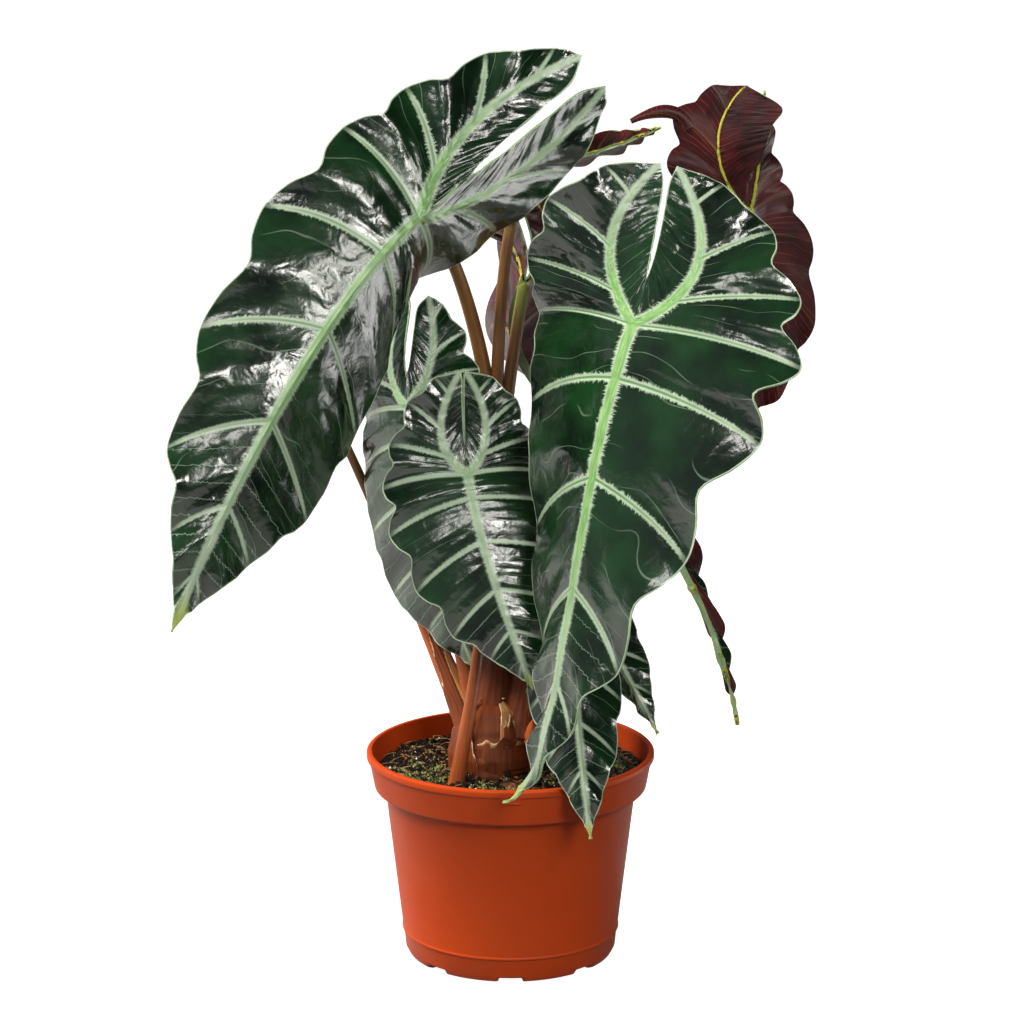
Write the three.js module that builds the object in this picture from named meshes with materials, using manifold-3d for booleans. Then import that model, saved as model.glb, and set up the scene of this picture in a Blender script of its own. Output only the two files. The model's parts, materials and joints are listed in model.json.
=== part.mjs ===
// Potted alocasia: a grower's pot of soil, a crown of sheathed stalks and ten arrow-shaped leaf blades.
// Millimetres, +Z up. The origin is the middle of the pot's underside, on the surface it stands on.
// The plant's best side faces -Y.

import * as THREE from 'three';
import { mergeVertices } from 'three/addons/utils/BufferGeometryUtils.js';
import Module from 'manifold-3d';

const wasm = await Module();
wasm.setup();

// ---- driving dimensions -------------------------------------------------------------------------

const GAP = 0.3;                 // clearance between neighbouring pieces

const POT = {
  height: 88,
  rimRadius: 60,
  bandTopRadius: 58.9,           // the wide band under the rolled rim
  bandBottomRadius: 56.8,
  bandBottom: 72.4,
  bodyTopRadius: 52.1,
  bodyTop: 70,
  lineRadius: 45.3,              // raised mould line near the foot
  lineHeight: 11.3,
  footRadius: 40.5,
  wall: 1.4,
  floorBottom: 2.5,              // the floor is raised inside the foot ring
  floorTop: 4.2,
  padRadius: 12,                 // middle pad, flush with the foot
  bandStep: 2,                   // height over which the body widens into the band, inside
  bandEase: 0.6,                 // thinner band wall at its bottom
  toeInset: 2,                   // rounding of the inner corner at the floor
  segments: 40,
};

const FOOT_NOTCH = { count: 8, width: 11, height: 2.4, depth: 14 };
const DRAIN_HOLE = { count: 8, radius: 4, ring: 27 };
const TAG_SLOT = { width: 9, height: 5, thickness: 0.6, bottom: 77.5 };

const SOIL = { edgeLevel: 79, middleLevel: 81, roughness: 0.9, toeHeight: 6, rings: 7, sectors: 32 };
const CROWN = { x: -7, y: -3, radius: 17, bottom: 72, height: 40, waist: 1.02, segments: 20 };
const BUD = { at: [9, -16, 98], radius: 3.4, height: 7 };

const BLADE = {
  thickness: 0.9,
  midribThickness: 2.4,
  veinThickness: 1.3,
  quilt: 0.014,                  // bulge between side veins, in midrib lengths
  wave: 0.02,                    // rise and fall of the margin, in midrib lengths
  fade: 1.5,                     // veins from the tip or the lobe over which quilt and wave set in
  droopReach: 0.33,              // half width over which the margin droops by its angle, in midrib lengths
  fullRibLength: 150,            // midrib length from which the midrib has its full thickness
  leastRib: 0.6,                 // share of that thickness on the smallest blades
  ribAtTip: 0.25,                // share of the rib thickness left at the tip and at the lobes
  cells: 3,                      // strips from the spine to the margin
  sinusCells: 2,                 // strips from the lobe's vein to the sinus
};

const ROD_SIDES = 8;
const STALK_STEPS = 11;
const ROLL_STEPS = 10;

// Direction that the plant's best side faces, a little upward.
const FRONT = [0, -0.975, 0.222];

// Flat outline of one half of a blade, in midrib lengths. u runs from the joint (0) to the tip (1),
// v runs out from the midrib. Each row is a side vein: where it leaves the spine, and where it ends.
// Roots below zero lie on the vein of the back lobe.
const VEINS = [
  { root: 1.00, u: 1.000, v: 0.000 },
  { root: 0.87, u: 0.930, v: 0.034 },
  { root: 0.72, u: 0.815, v: 0.108 },
  { root: 0.53, u: 0.670, v: 0.208 },
  { root: 0.31, u: 0.435, v: 0.275 },
  { root: 0.11, u: 0.180, v: 0.305 },
  { root: 0.00, u: -0.010, v: 0.290 },
  { root: -0.11, u: -0.165, v: 0.255 },
  { root: -0.25, u: -0.335, v: 0.190 },
  { root: -0.39, u: -0.445, v: 0.098 },
  { root: -0.475, u: -0.475, v: 0.045 },
];
const LAST = VEINS.length - 1;
const JOINT_VEIN = 6;            // the vein that leaves from the joint itself

// Depth of the notch between each vein and the next, and the share of it at three places on the way:
// the notches are narrower than the bumps. Then the curved vein of a back lobe, the edge of the slit
// between the two lobes, and how far a side vein bows towards the lobes on its way out.
const NOTCHES = [0.010, 0.008, 0.022, 0.040, 0.044, 0.044, 0.032, 0.030, 0.012, 0];
const NOTCH_SHAPE = [[0.25, 0.3], [0.5, 1], [0.75, 0.3]];
const ROWS_PER_VEIN = NOTCH_SHAPE.length + 1;
const LOBE_LENGTH = 0.475;
const LOBE_VEIN = [[0, 0], [-0.17, 0.15], [-LOBE_LENGTH, 0.045]];
const SINUS = [
  [-0.13, 0], [-0.18, 0.010], [-0.26, 0.014], [-0.34, 0.014], [-0.42, 0.016], [-LOBE_LENGTH, 0.045],
];
const VEIN_BOW = { halfway: 0.55, back: 0.1 };
const SPINE_SAMPLES = 160;
const LOBE_HANDLE = 0.4;         // handle of the lobes' curve at the joint, in lobe lengths

// Each blade: the end of its back lobes, its joint, two handles of the midrib and its tip. Then, at
// lobes, joint and tip: the way its upper face looks, its roll about the midrib in degrees (positive
// to the right), and for the left and the right half the fold up from the midrib, the droop of the
// margin and the width. A cut deepens one notch, given as [vein, depth]. The slit beside each lobe is
// widened and the lobe's end set off by [slit, gape], both 1 on a plain blade. A rolled end is the
// stretch of a lobe that has curled into a narrow roll.
const LEAVES = {
  blade_upper_left: {
    spine: [[35, 25, 367], [-36, -15, 312], [-69, -40, 287], [-108, -70, 218], [-132, -80, 159]],
    roll: [10, 30, 20],
    fold: [[-15, -20, -20], [-20, -30, 0]],
    droop: [[10, 20, 10], [10, 30, 10]],
    width: [[1.0, 0.85, 0.75], [0.9, 0.85, 1.0]],
    cut: [null, [5, 0.16]],
    steps: 3,
  },
  blade_right_front: {
    spine: [[62, -35, 336], [47, -60, 277], [21, -84, 211], [20, -92, 94], [-3, -84, 92]],
    roll: [0, -25, -30],
    fold: [[5, -20, -50], [0, 10, 10]],
    droop: [[0, 15, 10], [10, 20, 10]],
    width: [[1.3, 1.05, 0.5], [1.15, 1.25, 0.35]],
    sinus: [[0.3, 0.3], [0.3, 0.3]],
    steps: 3,
  },
  blade_centre: {
    spine: [[-19, -18, 251], [-17, -28, 211], [-13, -42, 187], [-2, -50, 158], [9, -52, 128]],
    roll: [12, 8, 0],
    fold: [[-10, -10, -10], [-10, -10, -10]],
    droop: [[10, 10, 10], [10, 10, 10]],
    width: [[1.3, 1.35, 1.2], [1.5, 1.25, 1.2]],
    sinus: [[0.15, 0.15], [0.15, 0.15]],
    steps: 3,
  },
  blade_centre_back: {
    spine: [[-39, 16, 277], [-42, -2, 233], [-39, -10, 206], [-29, -16, 156], [-13, -13, 124]],
    roll: [-25, -20, -10],
    fold: [[-10, -30, -30], [-10, -10, -10]],
    droop: [[10, 20, 10], [10, 10, 10]],
    width: [[0.8, 1.2, 1.6], [1.1, 1.0, 1.0]],
    steps: 3,
  },
  blade_right_back: {
    spine: [[103, 45, 358], [100, 45, 308], [119, 72, 257], [104, 76, 234], [77, 70, 196]],
    face: [[0.1, 1, 0], [0.1, 1, 0], [0.3, 1, 0]],
    fold: [[50, 10, 10], [10, 10, 10]],
    droop: [[10, 0, 0], [0, -5, 0]],
    width: [[0.45, 0.5, 0.78], [1.65, 0.7, 0.8]],
    sinus: [[1, 1], [-3.5, 0.6]],
    steps: 3,
    rolledEnd: {
      path: [[75, 49.5, 341], [70, 50.5, 350], [60, 49.5, 349], [50, 48, 344]],
      thick: 3.0,
      thin: 0.8,
    },
  },
  blade_top_back: {
    spine: [[-2, 37, 320], [5, 40, 323], [21, 44, 329], [43, 46, 333], [62, 40, 343]],
    face: [[0, 0.6, 0.8], [0, 0.8, 0.6], [0, 0.8, 0.6]],
    fold: [[40, 40, 30], [40, 40, 30]],
    droop: [[10, 0, 0], [10, 0, 0]],
    width: [[0.5, 0.5, 0.5], [0.6, 1.0, 1.0]],
  },
  blade_middle_back: {
    spine: [[1, 36, 313], [6, 38, 279], [-21, 50, 223], [72, 62, 211], [97, 30, 89]],
    face: [[0, 1, 0], [0, 1, 0], [0.3, 1, 0]],
    fold: [[60, 76, 85], [60, 75, 85]],
    droop: [[0, 0, 0], [0, 0, 0]],
    width: [[1, 0.9, 0.3], [1, 0.85, 0.3]],
    steps: 3,
  },
  blade_low_front: {
    spine: [[20, -14, 194], [22, -26, 160], [25, -42, 136], [28, -64, 103], [32, -69, 71]],
    fold: [[-25, -25, -25], [-25, -25, -25]],
    droop: [[10, 15, 10], [10, 15, 10]],
    width: [[0.8, 0.8, 0.8], [0.8, 0.8, 0.8]],
  },
  blade_low_right: {
    spine: [[8, 19, 194], [20, 14, 166], [32, 8, 147], [49, -2, 119], [61, -10, 97]],
    fold: [[-45, -45, -45], [-30, -30, -25]],
    droop: [[10, 15, 10], [10, 15, 10]],
    width: [[0.55, 0.55, 0.55], [0.75, 0.75, 0.75]],
  },
  blade_left_back: {
    spine: [[-71, 14, 280], [-84, 11, 251], [-92, 6, 236], [-106, 0, 220], [-113, 0, 199]],
    fold: [[-15, -15, -15], [-15, -15, -15]],
    droop: [[10, 15, 10], [10, 15, 10]],
    width: [[0.9, 0.9, 0.9], [0.9, 0.9, 0.9]],
  },
};

// Each stalk: foot in the crown, two handles, then it ends at the joint of its blade.
const STALKS = {
  blade_upper_left: { from: [-8, -2, 92], via: [[10, 6, 190], [-20, 70, 300]], foot: 9.5, neck: 2.6 },
  blade_top_back: { from: [-4, 6, 92], via: [[-6, 24, 181], [-10, 27, 284]], foot: 8, neck: 2.3 },
  blade_middle_back: { from: [1, 6, 92], via: [[-13, 18, 166], [-2, 26, 232]], foot: 8, neck: 2.6 },
  blade_left_back: { from: [-16, -6, 96], via: [[-35, 24, 132], [-54, 48, 174]], foot: 5.5, neck: 1.7 },
  blade_centre_back: { from: [-13, 0, 96], via: [[-23, 8, 150], [-37, 14, 191]], foot: 6, neck: 1.9 },
  blade_right_front: { from: [4, -8, 94], via: [[8, 14, 165], [60, 14, 215]], foot: 8.5, neck: 2.6 },
  blade_right_back: { from: [8, 6, 92], via: [[18, 58, 176], [96, 22, 236]], foot: 8, neck: 2.5 },
  blade_low_front: { from: [6, -10, 94], via: [[10, -6, 130], [24, 2, 145]], foot: 5, neck: 1.7 },
  blade_low_right: { from: [8, -2, 94], via: [[12, 12, 128], [16, 36, 160]], foot: 5, neck: 1.7 },
  blade_centre: {
    from: [-25, -22, 66],
    via: [[-15, -34, 121], [-4, -6, 168]],
    foot: 4.2,
    neck: 1.9,
    apart: true,             // stands beside the crown in a hole of its own
  },
};

// ---- materials ------------------------------------------------------------------------------------

const material = (color, roughness) => new THREE.MeshStandardMaterial({ color, roughness, metalness: 0 });
const TERRACOTTA = material(0xa8482a, 0.45);
const EARTH = material(0x2b2018, 1.0);
const STALK = material(0x8a4a2c, 0.55);
const LEAF_GREEN = material(0x14331c, 0.3);
const LEAF_MAROON = material(0x3a1416, 0.45);

// ---- small helpers --------------------------------------------------------------------------------

const vector = (p) => new THREE.Vector3(...p);
const radians = THREE.MathUtils.degToRad;

function toSolid(geometry) {
  const bare = new THREE.BufferGeometry();
  bare.setAttribute('position', geometry.getAttribute('position'));
  if (geometry.index) bare.setIndex(geometry.index);
  const merged = mergeVertices(bare, 1e-4);
  return new wasm.Manifold(new wasm.Mesh({
    numProp: 3,
    vertProperties: new Float32Array(merged.getAttribute('position').array),
    triVerts: new Uint32Array(merged.index.array),
  }));
}

function toGeometry(solid) {
  const mesh = solid.getMesh();
  const geometry = new THREE.BufferGeometry();
  geometry.setAttribute('position', new THREE.BufferAttribute(new Float32Array(mesh.vertProperties), 3));
  geometry.setIndex(new THREE.BufferAttribute(new Uint32Array(mesh.triVerts), 1));
  geometry.computeVertexNormals();
  return geometry;
}

const largest = (solid) => solid.decompose().reduce((a, b) => (a.volume() > b.volume() ? a : b));

// A lathe turned about Z from a closed [radius, z] profile.
function turned(profile, segments) {
  const geometry = new THREE.LatheGeometry(profile.map(([r, z]) => new THREE.Vector2(r, z)), segments);
  geometry.rotateX(Math.PI / 2);
  return geometry;
}

// Catmull-Rom value through the rows of a table, t counted in rows.
function splined(rows, t) {
  const last = rows.length - 1;
  const i = Math.min(Math.max(Math.floor(t), 0), last - 1);
  const f = t - i;
  return rows[0].map((_, c) => {
    const b = rows[i][c];
    const d = rows[i + 1][c];
    const a = i > 0 ? rows[i - 1][c] : 2 * b - d;
    const e = i + 1 < last ? rows[i + 2][c] : 2 * d - b;
    const square = (2 * a - 5 * b + 4 * d - e) * f ** 2;
    const cube = (3 * b - a - 3 * d + e) * f ** 3;
    return 0.5 * (2 * b + (d - a) * f + square + cube);
  });
}

const bent = ([a, b, c], t) => a.map((_, i) => (1 - t) ** 2 * a[i] + 2 * t * (1 - t) * b[i] + t * t * c[i]);

// Value at lobes, joint or tip, blended by u.
function along([lobes, joint, tip], u) {
  if (u < 0) return joint + (lobes - joint) * Math.min(-u / LOBE_LENGTH, 1);
  return joint + (tip - joint) * Math.min(u, 1);
}

// ---- the flat blade -------------------------------------------------------------------------------

// Flat point of the spine, which runs on along the vein of a lobe.
function spineFlat(lobeVein, root) {
  return root >= 0 ? [root, 0] : bent(lobeVein, Math.min(-root / LOBE_LENGTH, 1));
}

// One half of a flat blade: the vein of its lobe, the edge of the slit beside it, and rows of [root,
// end u, end v] at every vein and between the veins.
function halfOutline(cut, [slit, gape]) {
  const lobeEnd = [-LOBE_LENGTH, LOBE_VEIN[2][1] * gape];
  const lobeVein = [LOBE_VEIN[0], LOBE_VEIN[1], lobeEnd];
  const sinus = [...SINUS.slice(0, -1).map(([u, v]) => [u, v * slit]), lobeEnd];
  const veins = VEINS.map(({ root, u, v }, k) => [root, u, k === LAST ? lobeEnd[1] : v]);
  const rows = [];
  veins.forEach((vein, k) => {
    rows.push(vein);
    if (k === LAST) return;
    const depth = NOTCHES[k] + (cut && cut[0] === k ? cut[1] : 0);
    for (const [share, part] of NOTCH_SHAPE) {
      const [root, u, v] = vein.map((value, c) => value + (veins[k + 1][c] - value) * share);
      const start = spineFlat(lobeVein, root);
      const pull = (depth * part) / Math.hypot(start[0] - u, start[1] - v);
      rows.push([root, u + (start[0] - u) * pull, v + (start[1] - v) * pull]);
    }
  });
  return { lobeVein, sinus, rows };
}

// Flat point of the outer half: w counts veins from the tip, across goes from the spine to the margin.
function outerFlat({ lobeVein, rows }, w, across) {
  const [root, u, v] = splined(rows, w * ROWS_PER_VEIN);
  const start = spineFlat(lobeVein, root);
  const reach = Math.hypot(u - start[0], v - start[1]);
  const { halfway, back } = VEIN_BOW;
  const handle = [start[0] + (u - start[0]) * halfway - reach * back, start[1] + (v - start[1]) * halfway];
  return bent([start, handle, [u, v]], across);
}

// Flat point between the lobe's vein and the sinus.
function innerFlat({ lobeVein, sinus, rows }, w, across) {
  const start = spineFlat(lobeVein, w === JOINT_VEIN ? 0 : splined(rows, w * ROWS_PER_VEIN)[0]);
  const end = splined(sinus, ((w - JOINT_VEIN) / (LAST - JOINT_VEIN)) * (SINUS.length - 1));
  return [start[0] + (end[0] - start[0]) * across, start[1] + (end[1] - start[1]) * across];
}

// ---- the blade in space ---------------------------------------------------------------------------

// Samples of the spine from lobes to tip: distance u in midrib lengths, centre and tangent.
function spineSamples(spine) {
  const [tail, joint, handleA, handleB, tip] = spine.map(vector);
  const count = SPINE_SAMPLES;
  const midrib = new THREE.CubicBezierCurve3(joint, handleA, handleB, tip);
  const back = joint.clone().sub(handleA).normalize();
  const handle = joint.clone().addScaledVector(back, LOBE_HANDLE * tail.distanceTo(joint));
  const lobes = new THREE.QuadraticBezierCurve3(joint, handle, tail);
  const length = midrib.getLength();
  const samples = [];
  for (let i = count; i > 0; i -= 1) {
    samples.push({ u: -LOBE_LENGTH * (i / count), centre: lobes.getPointAt(i / count) });
  }
  for (let i = 0; i <= count; i += 1) {
    samples.push({ u: i / count, centre: midrib.getPointAt(i / count) });
  }
  samples.forEach((sample, i) => {
    const before = samples[Math.max(i - 1, 0)].centre;
    const after = samples[Math.min(i + 1, samples.length - 1)].centre;
    sample.tangent = after.clone().sub(before).normalize();
  });
  return { samples, length };
}

class Blade {
  constructor(leaf) {
    this.leaf = leaf;
    const sinus = leaf.sinus ?? [[1, 1], [1, 1]];
    this.halves = [0, 1].map((side) => halfOutline(leaf.cut && leaf.cut[side], sinus[side]));
    const { samples, length } = spineSamples(leaf.spine);
    this.length = length;
    this.samples = samples;
    const face = leaf.face ?? [FRONT, FRONT, FRONT];
    const roll = leaf.roll ?? [0, 0, 0];
    samples.forEach((sample) => {
      const towards = new THREE.Vector3(...[0, 1, 2].map((c) => along(face.map((f) => f[c]), sample.u)));
      towards.addScaledVector(sample.tangent, -towards.dot(sample.tangent)).normalize();
      sample.normal = towards.applyAxisAngle(sample.tangent, -radians(along(roll, sample.u)));
      sample.across = sample.tangent.clone().cross(sample.normal);
    });
  }

  frame(u) {
    const i = Math.max(this.samples.findIndex((sample) => sample.u >= u), 1);
    const [a, b] = [this.samples[i - 1], this.samples[i]];
    const f = THREE.MathUtils.clamp((u - a.u) / (b.u - a.u), 0, 1);
    const mix = (key) => a[key].clone().lerp(b[key], f);
    return { centre: mix('centre'), normal: mix('normal'), across: mix('across') };
  }

  // side is 0 for the left half and 1 for the right half; rise is along the bent surface's normal.
  place([u, v], side, rise) {
    const { centre, normal, across } = this.frame(u);
    const sign = side === 0 ? 1 : -1;
    const wide = v * along(this.leaf.width[side], u);
    const fold = radians(along(this.leaf.fold[side], u));
    const curl = radians(along(this.leaf.droop[side], u)) / BLADE.droopReach || 1e-4;
    const slope = fold - curl * wide;
    const out = (Math.sin(fold) - Math.sin(slope)) / curl;
    const up = (Math.cos(slope) - Math.cos(fold)) / curl;
    return centre
      .addScaledVector(across, sign * (out * this.length - Math.sin(slope) * rise))
      .addScaledVector(normal, up * this.length + Math.cos(slope) * rise);
  }

  rise(w, across) {
    const fade = Math.min(1, Math.min(w, LAST - w) / BLADE.fade);
    const bump = Math.sin(Math.PI * w) ** 2;
    const quilt = BLADE.quilt * bump * across ** 0.8 * (1 - 0.35 * across);
    const wave = BLADE.wave * (bump - 0.5) * across ** 2;
    return (quilt + wave) * fade * this.length;
  }
}

// The blade's upper face as shared points and triangles, with a thickness for each point.
function bladeSheet(blade, steps) {
  const { cells, sinusCells, ribAtTip } = BLADE;
  const points = [];
  const thickness = [];
  const triangles = [];
  const known = new Map();
  const shrink = THREE.MathUtils.clamp(blade.length / BLADE.fullRibLength, BLADE.leastRib, 1);

  const point = (key, flat, side, rise, thick) => {
    if (!known.has(key)) {
      known.set(key, points.length);
      points.push(blade.place(flat, side, rise));
      thickness.push(thick);
    }
    return known.get(key);
  };
  const rib = (w, j) => {
    const onVein = Math.abs(w - Math.round(w)) < 1e-6 ? 1 : 0;
    const spine = (BLADE.midribThickness - BLADE.thickness) * shrink * (j === 0 ? 1 : 0);
    const vein = (BLADE.veinThickness - BLADE.thickness) * onVein * (1 - j / cells) * (j === 0 ? 0 : 1);
    const towardsEnd = w < JOINT_VEIN ? 1 - w / JOINT_VEIN : (w - JOINT_VEIN) / (LAST - JOINT_VEIN);
    return BLADE.thickness + (spine + vein) * (1 - (1 - ribAtTip) * towardsEnd);
  };
  const outer = (side, w, j) => {
    if (w === 0) return point('tip', [1, 0], side, 0, BLADE.thickness);
    if (w === LAST) return point(`lobe${side}`, blade.halves[side].lobeVein[2], side, 0, BLADE.thickness);
    const onMidrib = j === 0 && w <= JOINT_VEIN;
    const key = onMidrib ? `midrib ${w}` : `outer${side} ${w} ${j}`;
    const across = j / cells;
    return point(key, outerFlat(blade.halves[side], w, across), side, blade.rise(w, across), rib(w, j));
  };
  const inner = (side, w, j) => {
    if (j === 0 || w === LAST) return outer(side, w, 0);
    const key = w === JOINT_VEIN ? `sinus ${j}` : `inner${side} ${w} ${j}`;
    return point(key, innerFlat(blade.halves[side], w, j / sinusCells), side, 0, BLADE.thickness);
  };
  const quad = (a, b, c, d, flipped) => {
    [[a, b, c], [b, d, c]].forEach(([p, q, r]) => {
      if (p === q || q === r || r === p) return;
      triangles.push(flipped ? [p, r, q] : [p, q, r]);
    });
  };
  for (const side of [0, 1]) {
    for (let i = 0; i < LAST * steps; i += 1) {
      const [w, next] = [i / steps, (i + 1) / steps];
      for (let j = 0; j < cells; j += 1) {
        const near = [outer(side, w, j), outer(side, next, j)];
        const far = [outer(side, w, j + 1), outer(side, next, j + 1)];
        quad(...near, ...far, side === 1);
      }
      if (w < JOINT_VEIN) continue;
      for (let j = 0; j < sinusCells; j += 1) {
        const near = [inner(side, w, j), inner(side, next, j)];
        const far = [inner(side, w, j + 1), inner(side, next, j + 1)];
        quad(...near, ...far, side === 0);
      }
    }
  }
  return { points, thickness, triangles };
}

// Closes a sheet into a solid: the upper face is kept, the under face is set back by the thickness.
function thickened({ points, thickness, triangles }, extra) {
  const normals = points.map(() => new THREE.Vector3());
  const edges = new Map();
  for (const [a, b, c] of triangles) {
    const [p, q, r] = [points[a], points[b], points[c]];
    const normal = q.clone().sub(p).cross(r.clone().sub(p));
    [a, b, c].forEach((i) => normals[i].add(normal));
    [[a, b], [b, c], [c, a]].forEach(([i, j]) => edges.set(`${i} ${j}`, [i, j]));
  }
  const upper = points.map((p, i) => p.clone().addScaledVector(normals[i].normalize(), extra));
  const under = points.map((p, i) => p.clone().addScaledVector(normals[i], -thickness[i] - extra));
  const count = points.length;
  const index = [];
  for (const [a, b, c] of triangles) index.push(a, b, c, a + count, c + count, b + count);
  for (const [a, b] of edges.values()) {
    if (edges.has(`${b} ${a}`)) continue;
    index.push(a, a + count, b, b, a + count, b + count);
  }
  const geometry = new THREE.BufferGeometry();
  geometry.setFromPoints([...upper, ...under]);
  geometry.setIndex(index);
  geometry.computeVertexNormals();
  return geometry;
}

// ---- stalks, crown, soil and pot --------------------------------------------------------------------

// A round rod along a curve, closed at both ends, whose radius follows a rule.
function rodGeometry(curve, radiusAt, steps) {
  const sides = ROD_SIDES;
  const { normals, binormals } = curve.computeFrenetFrames(steps, false);
  const points = [];
  const index = [];
  for (let i = 0; i <= steps; i += 1) {
    const t = i / steps;
    const centre = curve.getPointAt(t);
    for (let s = 0; s < sides; s += 1) {
      const angle = (s / sides) * 2 * Math.PI;
      const spoke = normals[i].clone().multiplyScalar(Math.cos(angle));
      spoke.addScaledVector(binormals[i], Math.sin(angle));
      points.push(centre.clone().addScaledVector(spoke, radiusAt(t)));
    }
  }
  for (let i = 0; i < steps; i += 1) {
    for (let s = 0; s < sides; s += 1) {
      const a = i * sides + s;
      const b = i * sides + ((s + 1) % sides);
      index.push(a, b, a + sides, b, b + sides, a + sides);
    }
  }
  const lastRing = steps * sides;
  for (let s = 1; s < sides - 1; s += 1) {
    index.push(0, s + 1, s, lastRing, lastRing + s, lastRing + s + 1);
  }
  const geometry = new THREE.BufferGeometry().setFromPoints(points);
  geometry.setIndex(index);
  geometry.computeVertexNormals();
  return geometry;
}

// A blade's solid, with the rolled end of its lobe where it has one.
function bladeSolid(leaf, sheet, extra) {
  const solid = toSolid(thickened(sheet, extra));
  if (!leaf.rolledEnd) return solid;
  const { path, thick, thin } = leaf.rolledEnd;
  const curve = new THREE.CubicBezierCurve3(...path.map(vector));
  const radiusAt = (t) => thick + (thin - thick) * t ** 2 + extra;
  return solid.add(toSolid(rodGeometry(curve, radiusAt, ROLL_STEPS)));
}

// A stalk ends half a midrib under the joint of its blade.
function stalkCurve(name, blade) {
  const { from, via } = STALKS[name];
  const { centre, normal } = blade.frame(0);
  const seat = centre.addScaledVector(normal, -0.5 * BLADE.midribThickness);
  return new THREE.CubicBezierCurve3(vector(from), vector(via[0]), vector(via[1]), seat);
}

function stalkSolid(name, blade, extra) {
  const { foot, neck } = STALKS[name];
  const radiusAt = (t) => neck + (foot - neck) * (1 - t) ** 3 + extra;
  return toSolid(rodGeometry(stalkCurve(name, blade), radiusAt, STALK_STEPS));
}

// The swollen crown under the stalks, with a buried root stock and one bud.
function crownSolid() {
  const { radius, bottom, height, waist, segments } = CROWN;
  const profile = [[0, 0], [0.85, 0], [1, 0.12], [waist, 0.4], [0.86, 0.66], [0.55, 0.88], [0, 1]];
  const stock = turned(profile.map(([r, z]) => [r * radius, bottom + z * height]), segments);
  stock.translate(CROWN.x, CROWN.y, 0);
  const bud = new THREE.SphereGeometry(1, 12, 8);
  bud.scale(BUD.radius, BUD.radius, BUD.height);
  bud.translate(...BUD.at);
  return toSolid(stock).add(toSolid(bud));
}

// Radius of the pot's inner wall at a height on the tapered body.
function innerWall(z) {
  const { bodyTop, bodyTopRadius, lineHeight, lineRadius, wall } = POT;
  return lineRadius + ((bodyTopRadius - lineRadius) * (z - lineHeight)) / (bodyTop - lineHeight) - wall;
}

// The soil fills the pot up to the band, with a low lumpy rise in its middle.
function soilSolid() {
  const { edgeLevel, middleLevel, roughness, toeHeight, rings, sectors } = SOIL;
  const low = POT.floorTop + GAP;
  const toe = low + toeHeight;
  const bandRadius = POT.bandBottomRadius + POT.bandEase - POT.wall - GAP;
  const profile = [[innerWall(low) - POT.toeInset - GAP, low], [innerWall(toe) - GAP, toe]];
  profile.push([innerWall(POT.bodyTop) - GAP, POT.bodyTop + 2 * GAP]);
  profile.push([bandRadius, POT.bandBottom + POT.bandStep + GAP], [bandRadius, edgeLevel]);
  const points = [];
  const index = [];
  const ring = (radius, height) => {
    for (let s = 0; s < sectors; s += 1) {
      const angle = (s / sectors) * 2 * Math.PI;
      const [x, y] = [radius * Math.cos(angle), radius * Math.sin(angle)];
      points.push(new THREE.Vector3(x, y, height(x, y)));
    }
  };
  const ground = (x, y) => {
    const share = Math.min(Math.hypot(x, y) / bandRadius, 1);
    const lumps = Math.sin(0.31 * x + 1.3) * Math.cos(0.27 * y) + 0.6 * Math.sin(0.53 * y + 0.41 * x);
    return middleLevel + (edgeLevel - middleLevel) * share ** 2 + roughness * lumps * (1 - share ** 6);
  };
  profile.forEach(([radius, z]) => ring(radius, () => z));
  for (let r = rings - 1; r > 0; r -= 1) ring((bandRadius * r) / rings, ground);
  const ringCount = points.length / sectors;
  for (let r = 0; r < ringCount - 1; r += 1) {
    for (let s = 0; s < sectors; s += 1) {
      const a = r * sectors + s;
      const b = r * sectors + ((s + 1) % sectors);
      index.push(a, b, a + sectors, b, b + sectors, a + sectors);
    }
  }
  const lowMiddle = points.push(new THREE.Vector3(0, 0, low)) - 1;
  const topMiddle = points.push(new THREE.Vector3(0, 0, ground(0, 0))) - 1;
  const lastRing = (ringCount - 1) * sectors;
  for (let s = 0; s < sectors; s += 1) {
    const next = (s + 1) % sectors;
    index.push(lowMiddle, next, s, topMiddle, lastRing + s, lastRing + next);
  }
  const geometry = new THREE.BufferGeometry().setFromPoints(points);
  geometry.setIndex(index);
  return toSolid(geometry);
}

// Plain holes in the soil for the crown and for the stalk that stands beside it.
function soilHoles(apartStalk) {
  const { radius, bottom, height, waist, segments } = CROWN;
  const reach = radius * waist + GAP;
  const socket = new THREE.CylinderGeometry(reach, reach, height, segments);
  socket.rotateX(Math.PI / 2);
  socket.translate(CROWN.x, CROWN.y, bottom - GAP + height / 2);
  return toSolid(socket).add(apartStalk);
}

// The small moulded pad on the front of the band.
function tagSlotSolid() {
  const { width, height, thickness, bottom } = TAG_SLOT;
  const block = new THREE.BoxGeometry(width, 4, height);
  block.translate(0, -POT.bandBottomRadius - 1.8, bottom + height / 2);
  const [low, high] = [POT.bandTopRadius - thickness, POT.bandTopRadius + thickness];
  const cap = new THREE.CylinderGeometry(high, low, 12, 60);
  cap.rotateX(Math.PI / 2);
  cap.translate(0, 0, bottom + 2);
  return toSolid(block).intersect(toSolid(cap));
}

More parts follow.
